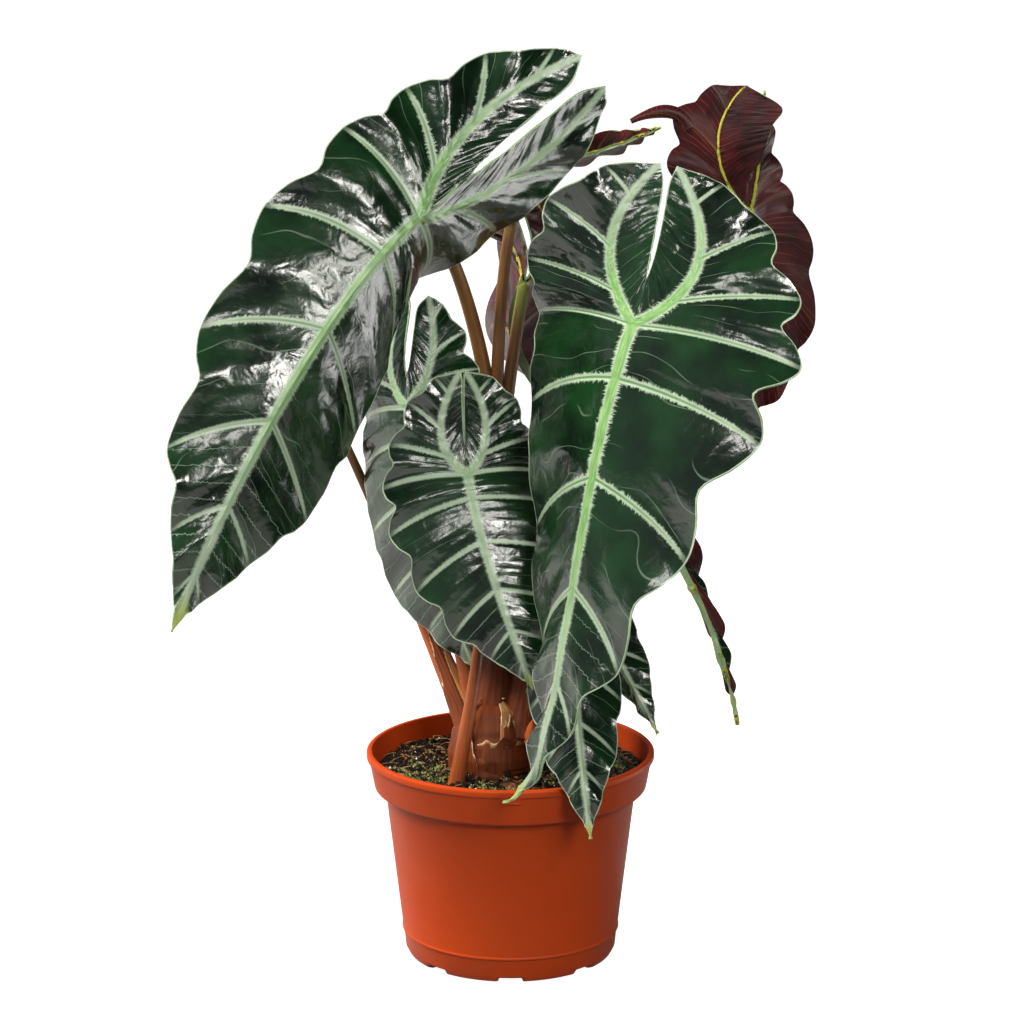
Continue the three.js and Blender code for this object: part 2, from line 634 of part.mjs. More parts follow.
// The pot: a tapered body with a wide band and a rolled rim, notches in its foot and drain holes.
function potSolid() {
  const p = POT;
  const outer = [
    [0, 0], [p.padRadius, 0], [p.padRadius + 1, p.floorBottom], [p.footRadius - 4, p.floorBottom],
    [p.footRadius - 3, 0], [p.footRadius, 0], [p.footRadius + 2.4, 0.9], [p.footRadius + 3.7, 3.4],
    [p.lineRadius - 0.4, p.lineHeight - 0.7], [p.lineRadius + 0.3, p.lineHeight - 0.3],
    [p.lineRadius + 0.3, p.lineHeight + 0.4], [p.lineRadius, p.lineHeight + 0.8],
    [p.bodyTopRadius, p.bodyTop], [p.bodyTopRadius + 0.9, p.bodyTop + 1.6],
    [p.bandBottomRadius - 0.5, p.bandBottom], [p.bandBottomRadius, p.bandBottom + 0.6],
    [p.bandTopRadius, p.height - 3.6], [p.rimRadius, p.height - 2.9],
    [p.rimRadius, p.height - 0.7], [p.rimRadius - 0.7, p.height], [p.rimRadius - 2.2, p.height],
  ];
  const inner = [
    [p.bandTopRadius - p.wall, p.height - 1.2],
    [p.bandBottomRadius + p.bandEase - p.wall, p.bandBottom + p.bandStep],
    [innerWall(p.bodyTop) + 0.2, p.bodyTop + 0.5],
    [innerWall(p.floorTop + SOIL.toeHeight), p.floorTop + SOIL.toeHeight],
    [innerWall(p.floorTop) - p.toeInset, p.floorTop], [0, p.floorTop],
  ];
  let pot = toSolid(turned([...outer, ...inner], p.segments));
  for (let i = 0; i < FOOT_NOTCH.count; i += 1) {
    const notch = new THREE.BoxGeometry(FOOT_NOTCH.width, FOOT_NOTCH.depth, 2 * FOOT_NOTCH.height);
    notch.translate(0, -p.footRadius, 0);
    notch.rotateZ((i / FOOT_NOTCH.count) * 2 * Math.PI);
    pot = pot.subtract(toSolid(notch));
  }
  for (let i = 0; i < DRAIN_HOLE.count; i += 1) {
    const hole = new THREE.CylinderGeometry(DRAIN_HOLE.radius, DRAIN_HOLE.radius, 12, 12);
    hole.rotateX(Math.PI / 2);
    hole.translate(DRAIN_HOLE.ring, 0, p.floorTop);
    hole.rotateZ(((i + 0.5) / DRAIN_HOLE.count) * 2 * Math.PI);
    pot = pot.subtract(toSolid(hole));
  }
  return pot.add(tagSlotSolid());
}

// ---- assembly -----------------------------------------------------------------------------------

const group = new THREE.Group();
group.name = 'potted_alocasia';

function add(name, geometry, finish) {
  const mesh = new THREE.Mesh(geometry, finish);
  mesh.name = name;
  group.add(mesh);
}

const MAROON_OUTWARD = new Set(['blade_right_back', 'blade_top_back', 'blade_middle_back']);

let crown = crownSolid();
let apartStalk = null;
for (const [name, leaf] of Object.entries(LEAVES)) {
  const blade = new Blade(leaf);
  const sheet = bladeSheet(blade, leaf.steps ?? 2);
  add(name, toGeometry(bladeSolid(leaf, sheet, 0)), MAROON_OUTWARD.has(name) ? LEAF_MAROON : LEAF_GREEN);
  const stalk = largest(stalkSolid(name, blade, 0).subtract(bladeSolid(leaf, sheet, GAP)));
  if (STALKS[name].apart) {
    apartStalk = { solid: stalk, hole: stalkSolid(name, blade, GAP) };
  } else {
    crown = crown.add(stalk);
  }
}
add('crown_and_stalks', toGeometry(crown), STALK);
add('centre_stalk', toGeometry(apartStalk.solid), STALK);
add('soil', toGeometry(soilSolid().subtract(soilHoles(apartStalk.hole))), EARTH);
add('pot', toGeometry(potSolid()), TERRACOTTA);

export default group;
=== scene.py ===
"""Visual model of a potted alocasia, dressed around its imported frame.

Metres in Blender, millimetres in the tables below. +Z is up and the plant's best side faces -Y.
"""

import json
import logging
import math
from collections.abc import Callable, Sequence
from dataclasses import dataclass, field
from enum import Enum

import bmesh
import bpy
import numpy as np
from mathutils import Euler, Matrix, Vector, noise

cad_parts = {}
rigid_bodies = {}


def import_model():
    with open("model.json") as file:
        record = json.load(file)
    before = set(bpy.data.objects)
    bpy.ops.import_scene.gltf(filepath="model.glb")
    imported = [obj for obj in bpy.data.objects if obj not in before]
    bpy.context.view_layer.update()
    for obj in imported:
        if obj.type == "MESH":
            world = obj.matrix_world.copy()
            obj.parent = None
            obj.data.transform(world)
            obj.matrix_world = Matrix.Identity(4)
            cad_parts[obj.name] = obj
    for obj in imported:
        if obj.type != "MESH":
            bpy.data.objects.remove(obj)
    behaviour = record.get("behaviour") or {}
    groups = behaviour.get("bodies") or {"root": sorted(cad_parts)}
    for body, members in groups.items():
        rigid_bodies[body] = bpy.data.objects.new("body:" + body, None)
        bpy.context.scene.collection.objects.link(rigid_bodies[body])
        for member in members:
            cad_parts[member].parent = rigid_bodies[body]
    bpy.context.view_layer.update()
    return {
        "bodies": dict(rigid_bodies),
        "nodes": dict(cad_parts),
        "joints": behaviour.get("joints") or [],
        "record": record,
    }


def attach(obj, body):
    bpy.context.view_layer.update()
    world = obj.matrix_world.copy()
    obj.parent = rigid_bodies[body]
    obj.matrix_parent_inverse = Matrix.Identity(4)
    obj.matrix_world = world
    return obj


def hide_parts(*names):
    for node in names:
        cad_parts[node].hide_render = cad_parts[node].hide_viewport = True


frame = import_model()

log = logging.getLogger("potted_alocasia")

MM = 0.001
MERGE = 0.02 * MM  # points closer than this are one
Array = np.ndarray
Socket = bpy.types.NodeSocket
Tree = bpy.types.NodeTree
Triple = tuple[float, float, float]

# Settings of nodes that come up again and again.
TIMES = {"operation": "MULTIPLY"}
TIMES_PLUS = {"operation": "MULTIPLY_ADD"}
SMOOTH = {"interpolation_type": "SMOOTHSTEP"}


# ---- small helpers --------------------------------------------------------------------------------


def linear(code: str) -> tuple[float, float, float, float]:
    """Turns an sRGB hex value into a linear colour.

    Args:
        code: Six hex digits.

    Returns:
        Red, green, blue and alpha.
    """
    parts = [int(code[i : i + 2], 16) / 255 for i in (0, 2, 4)]
    red, green, blue = (c / 12.92 if c <= 0.04045 else ((c + 0.055) / 1.055) ** 2.4 for c in parts)
    return (red, green, blue, 1.0)


def add(tree: Tree, kind: str, links: dict | Sequence = (), out: int | str | None = 0, **settings) -> Socket:
    """Adds one shader node with its settings and links.

    Args:
        tree: Node tree of the material.
        kind: Node type without its "ShaderNode" start.
        links: Values or sockets for the inputs, by name or in order.
        out: Which output to return, or None for all of them.
        **settings: Properties of the node.

    Returns:
        The chosen output socket, or the list of all.
    """
    node = tree.nodes.new("ShaderNode" + kind)
    for key, value in settings.items():
        setattr(node, key, value)
    for key, value in links.items() if isinstance(links, dict) else enumerate(links):
        if isinstance(value, Socket):
            tree.links.new(value, node.inputs[key])
        else:
            node.inputs[key].default_value = value
    if out is None or not node.outputs:
        return list(node.outputs)
    return node.outputs[out]


def attribute(tree: Tree, name: str) -> list[Socket]:
    """The three parts of a vector attribute of the mesh."""
    return add(tree, "SeparateXYZ", (add(tree, "Attribute", out="Vector", attribute_name=name),), out=None)


def speckle(tree: Tree, lumps: float, detail: float = 2.0, **more: float) -> Socket:
    """Even noise through the whole piece.

    Args:
        tree: Node tree of the material.
        lumps: Number of its lumps in a metre.
        detail: Layers of finer noise.
        **more: Further inputs of the noise, by name.

    Returns:
        The noise value, 0 to 1.
    """
    place = add(tree, "TexCoord", out="Object")
    return add(tree, "TexNoise", {"Vector": place, "Scale": lumps, "Detail": detail, **more})


def stretched_noise(
    tree: Tree, ways: Sequence[Socket], sizes: Sequence[float], detail: float = 2.0, roughness: float = 0.5
) -> Socket:
    """Noise whose grain is longer one way than the other.

    Args:
        tree: Node tree of the material.
        ways: The two coordinates that it runs on.
        sizes: Grain along each, in the coordinates' units.
        detail: Layers of finer noise.
        roughness: Strength of the finer layers.

    Returns:
        The noise value, 0 to 1.
    """
    parts = [add(tree, "Math", (way, 1 / size), **TIMES) for way, size in zip(ways, sizes)]
    where = add(tree, "CombineXYZ", parts)
    return add(tree, "TexNoise", {"Vector": where, "Scale": 1.0, "Detail": detail, "Roughness": roughness})


def smooth_noise(points: Array, scale: float, octaves: int = 2, seed: float = 0.0) -> Array:
    """Fractal noise at many points.

    Args:
        points: Rows of two or three coordinates.
        scale: Size of one lump, in the points' unit.
        octaves: Layers of finer noise.
        seed: Offset that picks another part of the noise.

    Returns:
        One value for each row, about -1 to 1.
    """
    full = np.zeros((len(points), 3))
    full[:, : points.shape[1]] = points / scale
    full[:, 2] += seed
    return np.array([noise.fractal(Vector(p), 1.0, 2.0, octaves) for p in full])


def name_seed(name: str, kinds: int) -> float:
    """A seed that follows from a name, below a number of kinds."""
    return float(sum(map(ord, name)) % kinds)


def blended(at: Array, grid: Sequence[float], table: Array) -> Array:
    """Rows of a table at places between those of its grid."""
    return np.stack([np.interp(at, grid, column) for column in table.T], 1)


def blank(*names: str) -> bmesh.types.BMesh:
    """A new mesh with room for the named vector attributes on its vertices."""
    bm = bmesh.new()
    for name in names:
        bm.verts.layers.float_vector.new(name)
    return bm


def mapped_grid(bm: bmesh.types.BMesh, size: tuple[int, int], place: Callable, flip: bool = False) -> list:
    """Adds a grid and bends it into a surface.

    Args:
        bm: Mesh that gets the grid.
        size: Faces along the two directions.
        place: Takes two arrays from 0 to 1 and gives rows of points in millimetres.
        flip: Turns the faces round.

    Returns:
        The new vertices, and the two arrays that place was given.
    """
    made = bmesh.ops.create_grid(bm, x_segments=size[0], y_segments=size[1], size=1.0)["verts"]
    share = np.array([(v.co.x, v.co.y) for v in made]) / 2 + 0.5
    points = place(share[:, 0], share[:, 1]) * MM
    for vert, point in zip(made, points):
        vert.co = point
    if flip:
        faces = {face for vert in made for face in vert.link_faces}
        bmesh.ops.reverse_faces(bm, faces=list(faces))
    return [made, share[:, 0], share[:, 1]]


def lay(bm: bmesh.types.BMesh, verts: Sequence, name: str, values: Sequence) -> None:
    """Writes a vector attribute on some vertices.

    Args:
        bm: Mesh that holds the vertices.
        verts: The vertices.
        name: Attribute that the materials read.
        values: Its three parts, each an array or one number for all.
    """
    layer = bm.verts.layers.float_vector[name]
    for vert, value in zip(verts, np.stack(np.broadcast_arrays(*values), 1)):
        vert[layer] = value


def piece(bm: bmesh.types.BMesh, name: str, finishes: Sequence["Finish"], node: str) -> bpy.types.Object:
    """Makes a mesh a piece that rides on the plant's body.

    Args:
        bm: Finished mesh, which is freed.
        name: Name of the piece.
        finishes: Its finishes, in the order of the faces' material numbers.
        node: CAD node that the piece stands for.

    Returns:
        The new object.
    """
    for face in bm.faces:
        face.smooth = True
    mesh = bpy.data.meshes.new(name)
    bm.to_mesh(mesh)
    bm.free()
    body = bpy.data.objects.new(name, mesh)
    bpy.context.scene.collection.objects.link(body)
    for finish in finishes:
        mesh.materials.append(finish.material())
    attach(body, "root")
    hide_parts(node)
    log.info("%s: %d faces", name, len(mesh.polygons))
    return body


def surfaced(
    name: str,
    finishes: Sequence["Finish"],
    node: str,
    size: tuple[int, int],
    place: Callable,
    attributes: dict[str, Callable] | None = None,
    thickness: float = 0.0,
    offset: float = 0.0,
) -> bpy.types.Object:
    """Makes a piece from one bent grid: a skin closed where its edges meet, or a sheet.

    Args:
        name: Name of the piece.
        finishes: Its finishes; the last one is the rim of a sheet.
        node: CAD node that the piece stands for.
        size: Faces along the two directions.
        place: As for mapped_grid.
        attributes: The three parts of each attribute, from the same two arrays.
        thickness: Thickness of a sheet in millimetres, or 0 for a closed skin.
        offset: Where a sheet's thickness goes, from -1, behind it, to 1.

    Returns:
        The new object.
    """
    attributes = attributes or {}
    bm = blank(*attributes)
    verts, x, y = mapped_grid(bm, size, place)
    for layer, parts in attributes.items():
        lay(bm, verts, layer, parts(x, y))
    if not thickness:
        bmesh.ops.remove_doubles(bm, verts=bm.verts, dist=MERGE)
    bmesh.ops.recalc_face_normals(bm, faces=bm.faces)
    made = piece(bm, name, finishes, node)
    if thickness:
        sheet = made.modifiers.new("sheet", "SOLIDIFY")
        sheet.thickness = thickness * MM
        sheet.offset = offset
        sheet.material_offset_rim = len(finishes) - 1
    return made


# ---- finishes -------------------------------------------------------------------------------------


@dataclass(frozen=True)
class Finish:
    """A procedural material with a name and one surface shader."""

    name: str

    def material(self) -> bpy.types.Material:
        """Makes the material, or finds the one made before."""
        known = bpy.data.materials.get(self.name)
        if known:
            return known
        made = bpy.data.materials.new(self.name)
        made.use_nodes = True
        made.node_tree.nodes.clear()
        look = self.surface(made.node_tree)
        shader = add(made.node_tree, "BsdfPrincipled", look)
        add(made.node_tree, "OutputMaterial", {"Surface": shader})
        return made

    def surface(self, tree: Tree) -> dict[str, float | Socket]:
        """Builds the patterns, and gives the inputs of the surface shader."""
        raise NotImplementedError

    @staticmethod
    def coated(tree: Tree, ground: str, *coats: tuple[Socket, str | Socket]) -> Socket:
        """Lays coats of colour over each other.

        Args:
            tree: Node tree of the material.
            ground: Lowest colour, as hex.
            *coats: For each coat its mask, and its colour as hex or as a socket.

        Returns:
            The colour.
        """
        colour = linear(ground)
        for mask, coat in coats:
            tint = coat if isinstance(coat, Socket) else linear(coat)
            colour = add(tree, "Mix", {0: mask, 6: colour, 7: tint}, out=2, data_type="RGBA")
        return colour


class LeafLines:
    """What the attributes of a blade say about a point of it, as sockets."""

    def __init__(self, tree: Tree) -> None:
        """Reads the attributes spine, vein and edge."""
        self.tree = tree
        self.spine, self.vein, self.edge = (attribute(tree, name) for name in ("spine", "vein", "edge"))

    def band(self, distance: Socket, width: Socket | float, soft: float) -> Socket:
        """Mask of a line that is 1 within a width and fades out past it.

        Args:
            distance: Distance from the line, in millimetres.
            width: Half width of the line, in millimetres.
            soft: Length of the fade, in millimetres.

        Returns:
            The mask.
        """
        past = add(self.tree, "Math", (distance, width), operation="SUBTRACT")
        return add(self.tree, "MapRange", (past, 0.0, soft, 1.0, 0.0), **SMOOTH)

    def feathered(self, line: list[Socket], grain: float, wide: float, spread: float, soft: float) -> Socket:
        """Mask of the pale border of a vein, with short spikes that point away from it.

        Args:
            line: Distance from the vein, distance along it and its half width.
            grain: Spacing of the spikes, in millimetres.
            wide: Half width of the border, in half widths of the vein.
            spread: Length of the spikes, in half widths of the vein.
            soft: Length of the fade, in millimetres.

        Returns:
            The mask.
        """
        spikes = stretched_noise(self.tree, (line[1], self.edge[1]), (grain, 3.0), 3.0)
        sharp = add(self.tree, "MapRange", (spikes, 0.44, 0.76, wide, wide + spread))
        width = add(self.tree, "Math", (line[2], sharp), **TIMES)
        return self.band(line[0], width, soft)

    def threads(self, wander: Socket, drift: float, number: float, thin: float) -> Socket:
        """Mask of thin cross veins that sweep out with the side veins.

        Args:
            wander: Noise that bends them.
            drift: How far it bends them, in side veins.
            number: How many lie between two side veins.
            thin: Width of one, as a share of their spacing.

        Returns:
            The mask.
        """
        bend = add(self.tree, "Math", (wander, drift, self.edge[1]), **TIMES_PLUS)
        turns = add(self.tree, "Math", (bend, number), **TIMES)
        saw = add(self.tree, "Math", (turns, 0.5), operation="PINGPONG")
        return add(self.tree, "MapRange", (saw, 0.0, thin, 1.0, 0.0), **SMOOTH)


@dataclass(frozen=True)
class WaxyUpperSkin(Finish):
    """Waxed upper skin of a leaf, grown dark and glossy between pale veins.

    The wax gives clear white patches of light, broken up by ripples that run out from the midrib and by
    crinkles. Every vein is green in its middle and has a silver border with fine spikes.
    """

    name: str = "waxy_leaf_upper"
    deep: str = "051208"
    green: str = "0D3013"
    silver: str = "A9BCA2"
    rib: str = "84AC66"
    rib_low: str = "5E884E"
    groove: str = "416E38"
    line: str = "8FA890"
    tip: str = "9AA852"
    rung_spacing: float = 7.5

    def cross_veins(self, tree: Tree, lines: LeafLines) -> Socket:
        """Mask of the thin cross veins, and of the rungs between them towards the tip."""
        spine, edge = lines.spine, lines.edge
        wander = speckle(tree, 38.0, 1.0)
        patch = speckle(tree, 55.0, 1.0)
        shown = add(tree, "MapRange", (patch, 0.42, 0.6, 0.0, 0.32))
        cross = add(tree, "Math", (lines.threads(wander, 0.55, 3.0, 0.03), shown), **TIMES)
        slant = add(tree, "Math", (spine[0], -0.5, spine[1]), **TIMES_PLUS)
        drift = add(tree, "Math", (wander, 5.0, slant), **TIMES_PLUS)
        ladder = add(tree, "Math", (drift, 1 / self.rung_spacing), **TIMES)
        rung = add(tree, "Math", (ladder, 0.5), operation="PINGPONG")
        rung = add(tree, "MapRange", (rung, 0.0, 0.04, 1.0, 0.0), **SMOOTH)
        near_tip = add(tree, "MapRange", (edge[1], 2.2, 3.6, 0.6, 0.0), **SMOOTH)
        rung = add(tree, "Math", (rung, near_tip), **TIMES)
        return add(tree, "Math", (cross, rung), operation="MAXIMUM")

    def middle(self, tree: Tree, lines: LeafLines) -> tuple[Socket, Socket]:
        """Mask and colour of the bright green middle of the midrib, which fades towards the tip."""
        spine = lines.spine
        long_way = stretched_noise(tree, (spine[1], spine[0]), (9.0, 0.5))
        streak = add(tree, "MapRange", (long_way, 0.42, 0.62))
        tint = self.coated(tree, self.rib_low, (streak, self.rib))
        inner = add(tree, "Math", (spine[2], 0.95), **TIMES)
        core = lines.band(spine[0], inner, 0.7)
        fade = add(tree, "MapRange", (spine[2], 0.6, 1.5, 0.15, 1.0))
        upper = add(tree, "MapRange", (lines.edge[1], 1.2, 3.4, 0.25, 1.0))
        fade = add(tree, "Math", (fade, upper), **TIMES)
        return add(tree, "Math", (core, fade), **TIMES), tint

    def surface(self, tree: Tree) -> dict[str, float | Socket]:
        """Builds the patterns, and gives the inputs of the surface shader."""
        lines = LeafLines(tree)
        spine, vein, edge = lines.spine, lines.vein, lines.edge
        cloud = speckle(tree, 45.0, 4.0)
        tone = add(tree, "MapRange", (cloud, 0.35, 0.7))

        # silver borders of the veins, and the green groove in the middle of each side vein
        inside = add(tree, "MapRange", (edge[0], 0.5, 7.0, 0.25, 1.0), **SMOOTH)
        side_border = add(tree, "Math", (lines.feathered(vein, 0.45, 0.8, 1.7, 0.9), inside), **TIMES)
        spine_border = lines.feathered(spine, 0.5, 0.95, 1.3, 1.7)
        border = add(tree, "Math", (spine_border, side_border), operation="MAXIMUM")
        silver = add(tree, "Math", (border, 0.8), **TIMES)
        lane = add(tree, "Math", (vein[2], 0.32), **TIMES)
        walk = add(tree, "MapRange", (vein[2], 0.35, 0.9, 0.0, 0.85))
        walk = add(tree, "Math", (walk, inside), **TIMES)
        groove = add(tree, "Math", (lines.band(vein[0], lane, 0.45), walk), **TIMES)

        # pale line along the margin, and the yellow-green drip tip
        pale = add(tree, "Math", (lines.band(edge[0], 0.2, 0.5), 0.8), **TIMES)
        end = add(tree, "MapRange", (edge[1], 0.25, 0.8, 1.0, 0.0), **SMOOTH)
        colour = self.coated(
            tree, self.deep, (tone, self.green), (self.cross_veins(tree, lines), self.line),
            (silver, self.silver), (groove, self.groove), self.middle(tree, lines),
            (pale, self.silver), (end, self.tip),
        )

        ripple = stretched_noise(tree, (edge[1], edge[0]), (0.19, 17.0), 0.5)
        grain = speckle(tree, 700.0)
        calm = add(tree, "MapRange", (edge[1], 0.8, 3.2, 0.15, 1.0))
        ripple = add(tree, "Math", (ripple, calm), **TIMES)
        crinkle = speckle(tree, 130.0, 1.5, Distortion=0.8)
        height = add(tree, "Math", (crinkle, 0.55, ripple), **TIMES_PLUS)
        height = add(tree, "Math", (grain, 0.1, height), **TIMES_PLUS)
        bump = add(tree, "Bump", {"Strength": 0.7, "Distance": 1.0 * MM, "Height": height})
        smear = add(tree, "MapRange", (cloud, 0.3, 0.7, 0.15, 0.26))
        matt = add(tree, "Math", (border, 0.18, smear), **TIMES_PLUS)
        return {"Base Color": colour, "Roughness": matt, "IOR": 1.5, "Specular IOR Level": 0.72, "Normal": bump}


@dataclass(frozen=True)
class MatteUnderSkin(Finish):
    """Under skin of a leaf, grown maroon and satin, with raised yellow-green ribs and pink cross veins."""

    name: str = "satin_leaf_under"
    deep: str = "1E0507"
    maroon: str = "481012"
    line: str = "A06A5C"
    rib: str = "A3A43A"
    rib_red: str = "7E5A2C"

    def surface(self, tree: Tree) -> dict[str, float | Socket]:
        """Builds the patterns, and gives the inputs of the surface shader."""
        lines = LeafLines(tree)
        cloud = speckle(tree, 60.0, 4.0)
        tone = add(tree, "MapRange", (cloud, 0.35, 0.7))
        thin = lines.threads(speckle(tree, 50.0, 1.0), 0.4, 7.0, 0.05)
        shown = add(tree, "MapRange", (cloud, 0.42, 0.6, 0.05, 0.5))
        cross = add(tree, "Math", (thin, shown), **TIMES)
        fade = add(tree, "MapRange", (lines.vein[2], 0.4, 1.1, 0.25, 0.85))
        side = add(tree, "Math", (lines.feathered(lines.vein, 1.2, 0.25, 0.3, 0.25), fade), **TIMES)
        middle = lines.feathered(lines.spine, 1.5, 0.5, 0.35, 0.35)
        colour = self.coated(
            tree, self.deep, (tone, self.maroon), (cross, self.line), (side, self.rib_red), (middle, self.rib)
        )
        ripple = stretched_noise(tree, (lines.edge[1], lines.edge[0]), (0.09, 14.0))
        height = add(tree, "Math", (thin, 0.5, ripple), **TIMES_PLUS)
        bump = add(tree, "Bump", {"Strength": 0.5, "Distance": 0.5 * MM, "Height": height})
        matt = add(tree, "MapRange", (cloud, 0.3, 0.7, 0.34, 0.48))
        return {"Base Color": colour, "Roughness": matt, "Specular IOR Level": 0.26, "Normal": bump}


@dataclass(frozen=True)
class HyalineRim(Finish):
    """The clear, thickened margin of a leaf, a pale green thread that catches the light."""

    name: str = "clear_leaf_rim"
    pale: str = "A9C492"
    dark: str = "6E9060"

    def surface(self, tree: Tree) -> dict[str, float | Socket]:
        """Builds the patterns, and gives the inputs of the surface shader."""
        return {"Base Color": self.coated(tree, self.pale, (speckle(tree, 120.0), self.dark)), "Roughness": 0.35}


@dataclass(frozen=True)
class StalkSkin(Finish):
    """Fleshy leaf stalk, grown red-brown below and olive above, smooth with fine long streaks."""

    name: str = "fleshy_stalk_skin"
    low: str = "A05228"
    high: str = "6B4A26"
    neck: str = "76863A"
    streak: str = "54291A"

    def surface(self, tree: Tree) -> dict[str, float | Socket]:
        """Builds the patterns, and gives the inputs of the surface shader."""
        share, length, angle = attribute(tree, "stem")
        up = add(tree, "MapRange", (share, 0.2, 0.75), **SMOOTH)
        end = add(tree, "MapRange", (share, 0.86, 1.0, 0.0, 0.8), **SMOOTH)
        streaks = stretched_noise(tree, (length, angle), (18.0, 0.2), 5.0, 0.65)
        dark = add(tree, "MapRange", (streaks, 0.45, 0.75, 0.0, 0.75))
        colour = self.coated(tree, self.low, (up, self.high), (end, self.neck), (dark, self.streak))
        bump = add(tree, "Bump", {"Strength": 0.35, "Distance": 0.4 * MM, "Height": streaks})
        return {"Base Color": colour, "Roughness": 0.42, "Specular IOR Level": 0.32, "Normal": bump}


@dataclass(frozen=True)
class DrySheath(Finish):
    """Dried leaf sheath, thin as paper and ribbed along its length, from red-brown to straw at torn edges."""

    name: str = "dry_papery_sheath"
    red: str = "763A1C"
    straw: str = "E2C596"
    stain: str = "48200F"

    def surface(self, tree: Tree) -> dict[str, float | Socket]:
        """Builds the patterns, and gives the inputs of the surface shader."""
        share, length, angle = attribute(tree, "stem")
        wave = add(tree, "Math", (speckle(tree, 140.0, 5.0), 0.5, share), **TIMES_PLUS)
        torn = add(tree, "MapRange", (wave, 1.16, 1.3), **SMOOTH)
        ribs = stretched_noise(tree, (length, angle), (20.0, 1 / 9), 4.0)
        dark = add(tree, "MapRange", (ribs, 0.42, 0.72, 0.0, 0.9))
        colour = self.coated(tree, self.red, (dark, self.stain), (torn, self.straw))
        bump = add(tree, "Bump", {"Strength": 0.6, "Distance": 0.5 * MM, "Height": ribs})
        return {"Base Color": colour, "Roughness": 0.55, "Specular IOR Level": 0.3, "Normal": bump}


@dataclass(frozen=True)
class MouldedPlastic(Finish):
    """Terracotta-coloured polypropylene, injection moulded, satin with a faint uneven tone and fine scuffs."""

    name: str = "moulded_polypropylene"
    base: str = "B64010"
    shade: str = "AA390D"
    scuff: str = "BC4E20"

    def surface(self, tree: Tree) -> dict[str, float | Socket]:
        """Builds the patterns, and gives the inputs of the surface shader."""
        place = add(tree, "TexCoord", out="Object")
        cloud = speckle(tree, 28.0, 3.0)
        flat = add(tree, "Mapping", {"Vector": place, "Scale": (1.0, 1.0, 0.12)})
        scratches = add(tree, "TexNoise", {"Vector": flat, "Scale": 420.0, "Detail": 6.0, "Roughness": 0.7})
        worn = add(tree, "MapRange", (scratches, 0.6, 0.85, 0.0, 0.3))
        colour = self.coated(tree, self.base, (cloud, self.shade), (worn, self.scuff))
        bump = add(tree, "Bump", {"Strength": 0.12, "Distance": 0.2 * MM, "Height": speckle(tree, 1500.0)})
        matt = add(tree, "MapRange", (cloud, 0.3, 0.7, 0.46, 0.56))
        return {"Base Color": colour, "Roughness": matt, "IOR": 1.49, "Specular IOR Level": 0.2, "Normal": bump}


@dataclass(frozen=True)
class LooseEarth(Finish):
    """Peat potting soil, crumbled and damp, nearly black with brown fibres."""

    name: str = "crumbled_peat_soil"
    dark: str = "0C0705"
    brown: str = "2E1D15"
    fleck: str = "7E5C3E"

    def surface(self, tree: Tree) -> dict[str, float | Socket]:
        """Builds the patterns, and gives the inputs of the surface shader."""
        place = add(tree, "TexCoord", out="Object")
        lumps = speckle(tree, 420.0, 8.0, Roughness=0.7)
        tone = add(tree, "MapRange", (lumps, 0.4, 0.65))
        cells = add(tree, "TexVoronoi", {"Vector": place, "Scale": 520.0}, out="Color")
        pick = add(tree, "MapRange", (cells, 0.8, 0.92, 0.0, 0.7))
        colour = self.coated(tree, self.dark, (tone, self.brown), (pick, self.fleck))
        bump = add(tree, "Bump", {"Strength": 1.0, "Distance": 1.2 * MM, "Height": lumps})
        return {"Base Color": colour, "Roughness": 0.85, "Normal": bump}


@dataclass(frozen=True)
class Crumb(Finish):
    """A small loose grain with its own two colours: moss, perlite, bark or fibre."""

    first: str
    second: str
    rough: float
    lumps: float

    def surface(self, tree: Tree) -> dict[str, float | Socket]:
        """Builds the patterns, and gives the inputs of the surface shader."""
        cloud = speckle(tree, self.lumps, 4.0)
        tone = add(tree, "MapRange", (cloud, 0.35, 0.65))
        colour = self.coated(tree, self.first, (tone, self.second))
        bump = add(tree, "Bump", {"Strength": 0.6, "Distance": 0.4 * MM, "Height": cloud})
        return {"Base Color": colour, "Roughness": self.rough, "Normal": bump}


UPPER = WaxyUpperSkin()
UNDER = MatteUnderSkin()
RIM = HyalineRim()
STALK = StalkSkin()
SHEATH = DrySheath()
BUD = DrySheath("orange_bud_scale", "B9602C", "E2A468", "8A3414")
STRAW = DrySheath("bleached_sheath_edge", "B58452", "EBD6B0", "7E5230")
PLASTIC = MouldedPlastic()
EARTH = LooseEarth()
MOSS = Crumb("soft_moss", "3A441C", "98A060", 0.9, 500.0)
PERLITE = Crumb("expanded_perlite", "D8D6CE", "F4F3EE", 0.9, 900.0)
BARK = Crumb("shredded_bark", "3A2114", "8A5A36", 0.85, 600.0)
FIBRE = Crumb("coir_fibre", "7A5430", "BE9C70", 0.8, 700.0)


# ---- leaf blades ----------------------------------------------------------------------------------

